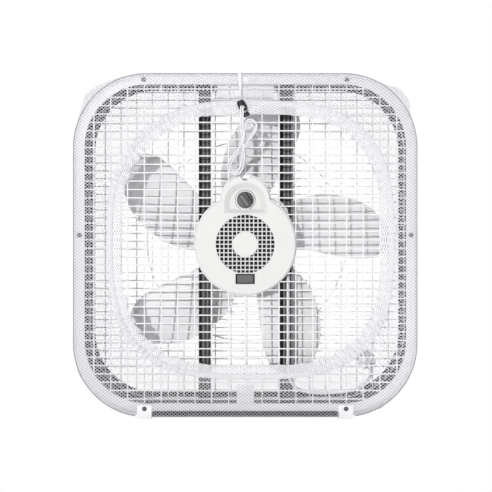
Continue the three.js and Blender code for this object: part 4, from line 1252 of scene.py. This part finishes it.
# ---- Front flap ----
# The net's front: a strip sewn to the side band, pulled in over the rim by the drawstring, with folds
# that start at the casing and die away towards the rim, deepest at the corners.
net_white = net_finish("net_white", (0.95, 0.95, 0.97))
# The side band's net is a greyer, denser copy of the front net: painted shade for the walls that face away
# from the light.
side_net_shaded = net_finish("side_net_shaded", (0.78, 0.78, 0.81), thread=0.34, opaque=0.08, glow=0.3)
edge_points = [net_edge_point(2 * math.pi * i / around, 0) for i in range(around)]
flap_rows = []
flap_shares = [0, 0.012, 0.03, 0.06, 0.12, 0.2, 0.3, 0.4, 0.5, 0.6, 0.7, 0.78, 0.85, 0.91, 0.96, 1]
for share in flap_shares:
    line = []
    for i in range(around):
        turn = 2 * math.pi * i / around
        x1, z1 = edge_points[i]
        x0, z0 = opening_point(turn, sewn_line)
        x, z = x1 + (x0 - x1) * share, z1 + (z0 - z1) * share
        depth = math.hypot(x1 - x0, z1 - z0)
        reach = max(0, 1 - (1 - share) * depth / (42 * mm))
        fold_up = gather(turn) * reach ** 1.4
        swell = fold_up * (3.4 * pleat(turn, 96, 0.4) + 1.3 * pleat(turn, 171, 2.2)) * mm
        slip = fold_up * 0.02 * pleat(turn, 96, 2.0)
        x += slip * (z - opening_centre.z) * 0.4
        z -= slip * (x - opening_centre.x) * 0.4
        roll_back = max(0, 1 - share / 0.03) ** 2 * 2.4 * mm
        y = flap_y + 0.5 * mm + roll_back - 1.2 * mm * reach + swell - abs(swell) * 0.4
        line.append(((x, min(y, flap_y + 3 * mm), z), (x, z + 0.25 * swell)))
    line.append(line[0])
    flap_rows.append(line)
net_flap = cloth_piece("net_flap", flap_rows)
without_feet(net_flap)
fit(net_flap, net_white, replaces=["net_front_flap"])

# ---- Hem casing and frill ----
# The flap's edge is turned over to make a casing for the drawstring, and what is left of it stands
# inwards as a frill. Both are double net, so they look whiter than the flap.
hem_white = net_finish("hem_white", (0.79, 0.79, 0.81), thread=0.44, opaque=0.84, glow=0.1)
frill_white = net_finish("frill_white", (0.8, 0.8, 0.82), thread=0.38, opaque=0.5, glow=0.1)
cloth_a_radian = 0.3
casing_step = 0.0012
frill_cloth = 0.017
casing_rows = []
for step in range(13):
    turn_round = math.pi * step / 12
    offset = casing_half_width * math.cos(turn_round)
    line = []
    for i in range(around):
        turn = 2 * math.pi * i / around
        crinkle = gather(turn) * (2.6 * pleat(turn, 132, 1.2) + 0.9 * pleat(turn, 231, 0.3)) * mm
        x, z = opening_point(turn, offset + gather(turn) * 0.9 * mm * pleat(turn, 61, 1.0))
        swell = 3.3 * mm * math.sin(turn_round) ** 0.8
        y = casing_high.y - 0.4 * mm - swell + crinkle * math.sin(turn_round)
        line.append(((x, y, z), (turn * cloth_a_radian, step * casing_step)))
    line.append((line[0][0], (2 * math.pi * cloth_a_radian, step * casing_step)))
    casing_rows.append(line)
hem_casing = cloth_piece("hem_casing", casing_rows)
fit(hem_casing, hem_white, replaces=["net_hem_casing"])
frill_rows = []
frill_width = 13 * mm
for step in range(11):
    share = step / 10
    line = []
    for i in range(around):
        turn = 2 * math.pi * i / around
        loose = (0.35 + 0.65 * gather(turn)) * share ** 0.8
        wave = loose * (3.6 * pleat(turn, 96, 0.9) + 1.6 * pleat(turn, 171, 2.6)) * mm
        edge = frill_width * (1 + 0.16 * gather(turn) * pleat(turn, 37, 0.2))
        x, z = opening_point(turn, -sewn_line - edge * share)
        slip = loose * 0.012 * pleat(turn, 84, 2.4)
        x += slip * (z - opening_centre.z)
        z -= slip * (x - opening_centre.x)
        y = min(casing_high.y - 1.4 * mm - 0.6 * mm * share + wave, flap_y + 0.9 * mm)
        line.append(((x, y, z), (turn * cloth_a_radian, share * frill_cloth)))
    line.append((line[0][0], (2 * math.pi * cloth_a_radian, share * frill_cloth)))
    frill_rows.append(line)
hem_frill = cloth_piece("hem_frill", frill_rows)
fit(hem_frill, frill_white, replaces=["net_hem_frill"])

# ---- Drawstring ----
# Its run in the casing, from one side of the cord lock round to the other.
run_points = []
gap_turn = 0.045
lock_turn = math.pi / 2 + 0.065
for i in range(121):
    turn = lock_turn + gap_turn + (2 * math.pi - 2 * gap_turn) * i / 120
    x, z = opening_point(turn, 0)
    run_points.append(Vector((x, casing_high.y - 1.7 * mm, z)))
drawstring_run, _ = cord_along("drawstring_run", run_points, cord_thick / 2)
fit(drawstring_run, cord_white, replaces=["drawstring_ring"])

# ---- Side band ----
# The net's side: one strip round the housing, loose at the corners, where its spare cloth stands off
# in soft ears, and left open where the feet come through.
ears = [
    (math.radians(135), 18 * mm, 0.15, 0.4), (math.radians(44), 18 * mm, 0.15, 0.45),
    (math.radians(218), 12 * mm, 0.08, 0.45), (math.radians(309), 11 * mm, 0.08, 0.45),
    (math.radians(233), 9 * mm, 0.06, 0.6),
]
band_line = rounded_square(0, net_width, net_height, net_radius, steps=40)
band_dense = []
for a, b in zip(band_line, band_line[1:] + band_line[:1]):
    pieces = max(1, round(math.hypot(b[0] - a[0], b[1] - a[1]) / (5 * mm)))
    band_dense += [
        (a[0] + (b[0] - a[0]) * k / pieces, a[1] + (b[1] - a[1]) * k / pieces) for k in range(pieces)
    ]
band_rows = []
band_deep = 24
for step in range(band_deep + 1):
    share = step / band_deep
    y = net_flap_high.y + 0.3 * mm + (net_back_low.y - net_flap_high.y - 0.6 * mm) * share
    line = []
    run = 0.0
    last = band_dense[-1]
    for x, z in band_dense:
        run += math.hypot(x - last[0], z - last[1])
        last = (x, z)
        turn = math.atan2(z, x)
        out = Vector((x, z)).normalized()
        loose = 0.25 * mm * math.sin(23 * turn + 6 * share) * math.sin(math.pi * share)
        for at, size, spread, deep in ears:
            away = (turn - at + math.pi) % (2 * math.pi) - math.pi
            bulge = math.exp(-((away / spread) ** 2)) * math.exp(-(((share - deep) / 0.33) ** 2))
            ripple = 1 + 0.16 * math.sin(31 * turn + 9 * share) + 0.07 * math.sin(67 * turn - 5 * share)
            loose += size * bulge * ripple * min(1, 7 * share) * min(1, 7 * (1 - share))
        loose = max(loose, -0.2 * mm)
        line.append(((x + out.x * loose, y, net_middle.z + z + out.y * loose), (run, y)))
    line.append((line[0][0], (run + 5 * mm, y)))
    band_rows.append(line)
side_band = cloth_piece("side_band", band_rows)
without_feet(side_band)
fit(side_band, side_net_shaded, replaces=["net_side_band", "net_under_strip"])

# ---- Back panel ----
# The bag's flat back, stretched a little over the rear grille and slack between its seams.
back_rows = []
back_rings = [0, 0.02, 0.05, 0.1, 0.18, 0.28, 0.4, 0.55, 0.7, 0.85, 0.97]
for share in back_rings:
    line = []
    for i in range(360):
        turn = 2 * math.pi * i / 360
        x1, z1 = edge_points[i * 3]
        x = x1 * (1 - share)
        z = net_middle.z + (z1 - net_middle.z) * (1 - share)
        slack = 0.8 * mm * math.sin(3 * turn + 5 * share) * math.sin(math.pi * share)
        y = net_back_high.y - 0.3 * mm - max(0, 1 - share / 0.02) * 1.4 * mm + slack * 0.4
        line.append(((x, y, z), (x, z)))
    line.append(line[0])
    back_rows.append(line)
back_panel = cloth_piece("back_panel", back_rows)
work = bmesh.new()
work.from_mesh(back_panel.data)
bmesh.ops.remove_doubles(work, verts=work.verts, dist=0.01 * mm)
hole_reach = 40 * mm
hole_edges = [
    edge for edge in work.edges
    if edge.is_boundary
    and all((v.co - net_middle).length < hole_reach + abs(v.co.y) for v in edge.verts)
]
bmesh.ops.holes_fill(work, edges=hole_edges, sides=0)
lay = work.loops.layers.uv["cloth"]
for face in work.faces:
    for loop in face.loops:
        loop[lay].uv = (loop.vert.co.x, loop.vert.co.z)
work.to_mesh(back_panel.data)
work.free()
without_feet(back_panel)
fit(back_panel, net_white, replaces=["net_back_panel"])

# ---- Net seams ----
# Overlocked seams where the flap and the back are sewn to the side band, coloured grey as painted shade
# along the outline's edge where the rim turns away.
seam_shade_grey = finish(
    "seam_shade_grey", (0.34, 0.34, 0.37), 0.8, cloud=0.35, cloud_scale=700, grain=1, grain_mm=0.8
)
seam_radius = 0.75 * mm
for name, y in (("front_seam", flap_y + 1.2 * mm), ("back_seam", net_back_high.y - 1.2 * mm)):
    seam_profile = arc(seam_radius, 0, 2 * math.pi, 8, -0.1 * mm, y)[:-1]
    seam = swept_ring(
        name, lambda inset: rounded_square(inset, net_width, net_height, net_radius, steps=40),
        seam_profile, net_middle,
    )
    without_feet(seam)
    fit(seam, seam_shade_grey)

# ---- Seam tape ----
# White woven binding over the bag's closing seam: up the front, over the top and to the back.
tape_low, tape_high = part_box("net_seam_tape")
tape_path = []
tape_bend = 3 * mm
for step in range(9):
    share = step / 8
    tape_path.append((tape_low.y, tape_low.z + (tape_high.z - tape_bend - tape_low.z) * share))
for step in range(1, 7):
    turn = math.pi / 2 * step / 6
    tape_path.append((
        tape_low.y + tape_bend * (1 - math.cos(turn)), tape_high.z - tape_bend + tape_bend * math.sin(turn)
    ))
for step in range(1, 15):
    share = step / 14
    tape_path.append((
        tape_low.y + tape_bend + (tape_high.y - tape_low.y - tape_bend) * share,
        tape_high.z - 2.6 * mm * min(1, 6 * share) + 0.3 * mm * math.sin(9 * share),
    ))
tape_rows = []
tape_middle = (tape_low.x + tape_high.x) / 2
tape_length = 0.0
before = tape_path[0]
for y, z in tape_path:
    tape_length += math.hypot(y - before[0], z - before[1])
    before = (y, z)
    line = []
    for i in range(7):
        across = i / 6
        narrow = min(1, 0.3 + max(0, z - tape_low.z) / (34 * mm)) * 0.74
        x = tape_middle + (tape_high.x - tape_low.x) * (across - 0.5) * narrow
        crown = 0.35 * mm * math.sin(math.pi * across)
        line.append(((x + 0.25 * mm * math.sin(140 * tape_length), y - crown, z + crown),
                     (x, tape_length)))
    tape_rows.append(line)
seam_tape = cloth_piece("seam_tape", tape_rows)
apply(seam_tape, "SOLIDIFY", thickness=0.7 * mm, offset=0)
tape_white = finish(
    "tape_white", (0.86, 0.86, 0.89), 0.85, cloud=0.1, cloud_scale=900, grain=1, grain_mm=0.5
)
fit(seam_tape, tape_white, replaces=["net_seam_tape"])

# ---- Cord lock ----
# A black moulded barrel lock on the drawstring: an oval body, and the button that is squeezed to let
# the cord through.
lock_black = finish("lock_black", (0.005, 0.005, 0.006), 0.5, cloud=0.2, grain=0.3, grain_mm=0.5)
lock_low, lock_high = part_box("cord_lock_body")
press_low, press_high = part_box("cord_lock_button")
lock_centre, press_centre = (lock_low + lock_high) / 2, (press_low + press_high) / 2
lock_lean = math.atan2(press_centre.x - lock_centre.x, lock_centre.z - press_centre.z)


def rounded_off(piece, centre, half_along, half_across, half_deep):
    """Keeps what of a piece is inside an oval pebble whose long side leans as the lock does."""
    bpy.ops.mesh.primitive_uv_sphere_add(segments=40, ring_count=24, radius=1)
    pebble = bpy.context.object
    squareness = 2.8
    for vertex in pebble.data.vertices:
        x, y, z = vertex.co
        size = sum(abs(c) ** squareness for c in (x, y, z)) ** (-1 / squareness)
        vertex.co = (x * size * half_across, y * size * half_deep, z * size * half_along)
    turn_and_move(pebble, -lock_lean, "Y", centre)
    apply(piece, "BOOLEAN", object=pebble, operation="INTERSECT", solver="EXACT")
    bpy.data.objects.remove(pebble)
    smooth_by_angle(piece, 45)


lock_body = refined("lock_barrel", "cord_lock_body", 0.5 * mm, segments=2, angle=40)
rounded_off(lock_body, lock_centre, 9.6 * mm, 6.4 * mm, 5.4 * mm)
fit(lock_body, lock_black, replaces=["cord_lock_body"])
lock_button = refined("lock_plunger", "cord_lock_button", 0.5 * mm, segments=2, angle=40)
rounded_off(lock_button, press_centre, 12 * mm, 5.6 * mm, 4.6 * mm)
fit(lock_button, lock_black, "lock_button", replaces=["cord_lock_button"])

# ---- Underside shade ----
# A black strip under the housing between the feet, with a lip up the front rim: painted shade for the
# dark gap under the fan, seen through the net.
pad_low_x = foot_rooms[0][1] + 1 * mm
pad_high_x = foot_rooms[1][0] - 1 * mm
pad_low = Vector((pad_low_x, band_low.y - 1.3 * mm, net_under_high.z + 0.4 * mm))
pad_high = Vector((pad_high_x, band_low.y + 22 * mm, band_low.z - 0.1 * mm))
underside_shade = cutter(pad_low, pad_high)
underside_shade.name = "underside_shade_strip"
lip = cutter(pad_low, (pad_high_x, band_low.y - 0.2 * mm, band_low.z + 3.6 * mm))
apply(underside_shade, "BOOLEAN", object=lip, operation="UNION", solver="EXACT")
bpy.data.objects.remove(lip)
apply(underside_shade, "BEVEL", width=0.3 * mm, segments=2)
smooth_by_angle(underside_shade)
fit(underside_shade, shade_black)

# ---- Studio ----
# A white sweep and even light from all round, brighter from behind, with one small lamp in front and
# high on the left. The camera sees the sweep as plain white.
def split_rays(tree, end, for_light, for_camera):
    """Gives the camera's rays one shader and all the others another."""
    camera_ray = add_node(tree, "LightPath").outputs["Is Camera Ray"]
    blend = add_node(tree, "MixShader", {"Fac": camera_ray, 1: for_light, 2: for_camera})
    tree.links.new(blend.outputs["Shader"], tree.nodes[end].inputs["Surface"])


bpy.ops.mesh.primitive_plane_add(size=14, location=(0, 0, 0))
floor = bpy.context.object
floor.name = "floor"
floor_white, tree, shader = new_material("floor_white")
shader.inputs["Base Color"].default_value = (0.8, 0.8, 0.8, 1)
shader.inputs["Roughness"].default_value = 0.9
glow = add_node(tree, "Emission").outputs["Emission"]
split_rays(tree, "Material Output", shader.outputs["BSDF"], glow)
floor.data.materials.append(floor_white)
bpy.ops.object.light_add(type="SUN", location=(-1.6, -2.6, 1.0))
key = bpy.context.object
key.data.energy = 1.9
key.data.angle = math.radians(1.2)
key.rotation_euler = Vector((0.17, 1, -0.13)).to_track_quat("-Z", "Y").to_euler()
bpy.context.scene.view_settings.view_transform = "Standard"
world = bpy.context.scene.world or bpy.data.worlds.new("studio")
bpy.context.scene.world = world
world.use_nodes = True
tree = world.node_tree
room = tree.nodes["Background"]
room.inputs["Color"].default_value = (1, 1, 1, 1)
side = add_node(tree, "TexCoord").outputs["Generated"]
depth = add_node(tree, "SeparateXYZ", {"Vector": side}).outputs["Y"]
behind = {"From Min": -0.5, "From Max": 0.1, "To Min": 0.22, "To Max": 1.7, "Value": depth}
tree.links.new(add_node(tree, "MapRange", behind).outputs["Result"], room.inputs["Strength"])
sweep = add_node(tree, "Background", {"Strength": 1.0, "Color": (1, 1, 1, 1)})
split_rays(tree, "World Output", room.outputs["Background"], sweep.outputs["Background"])
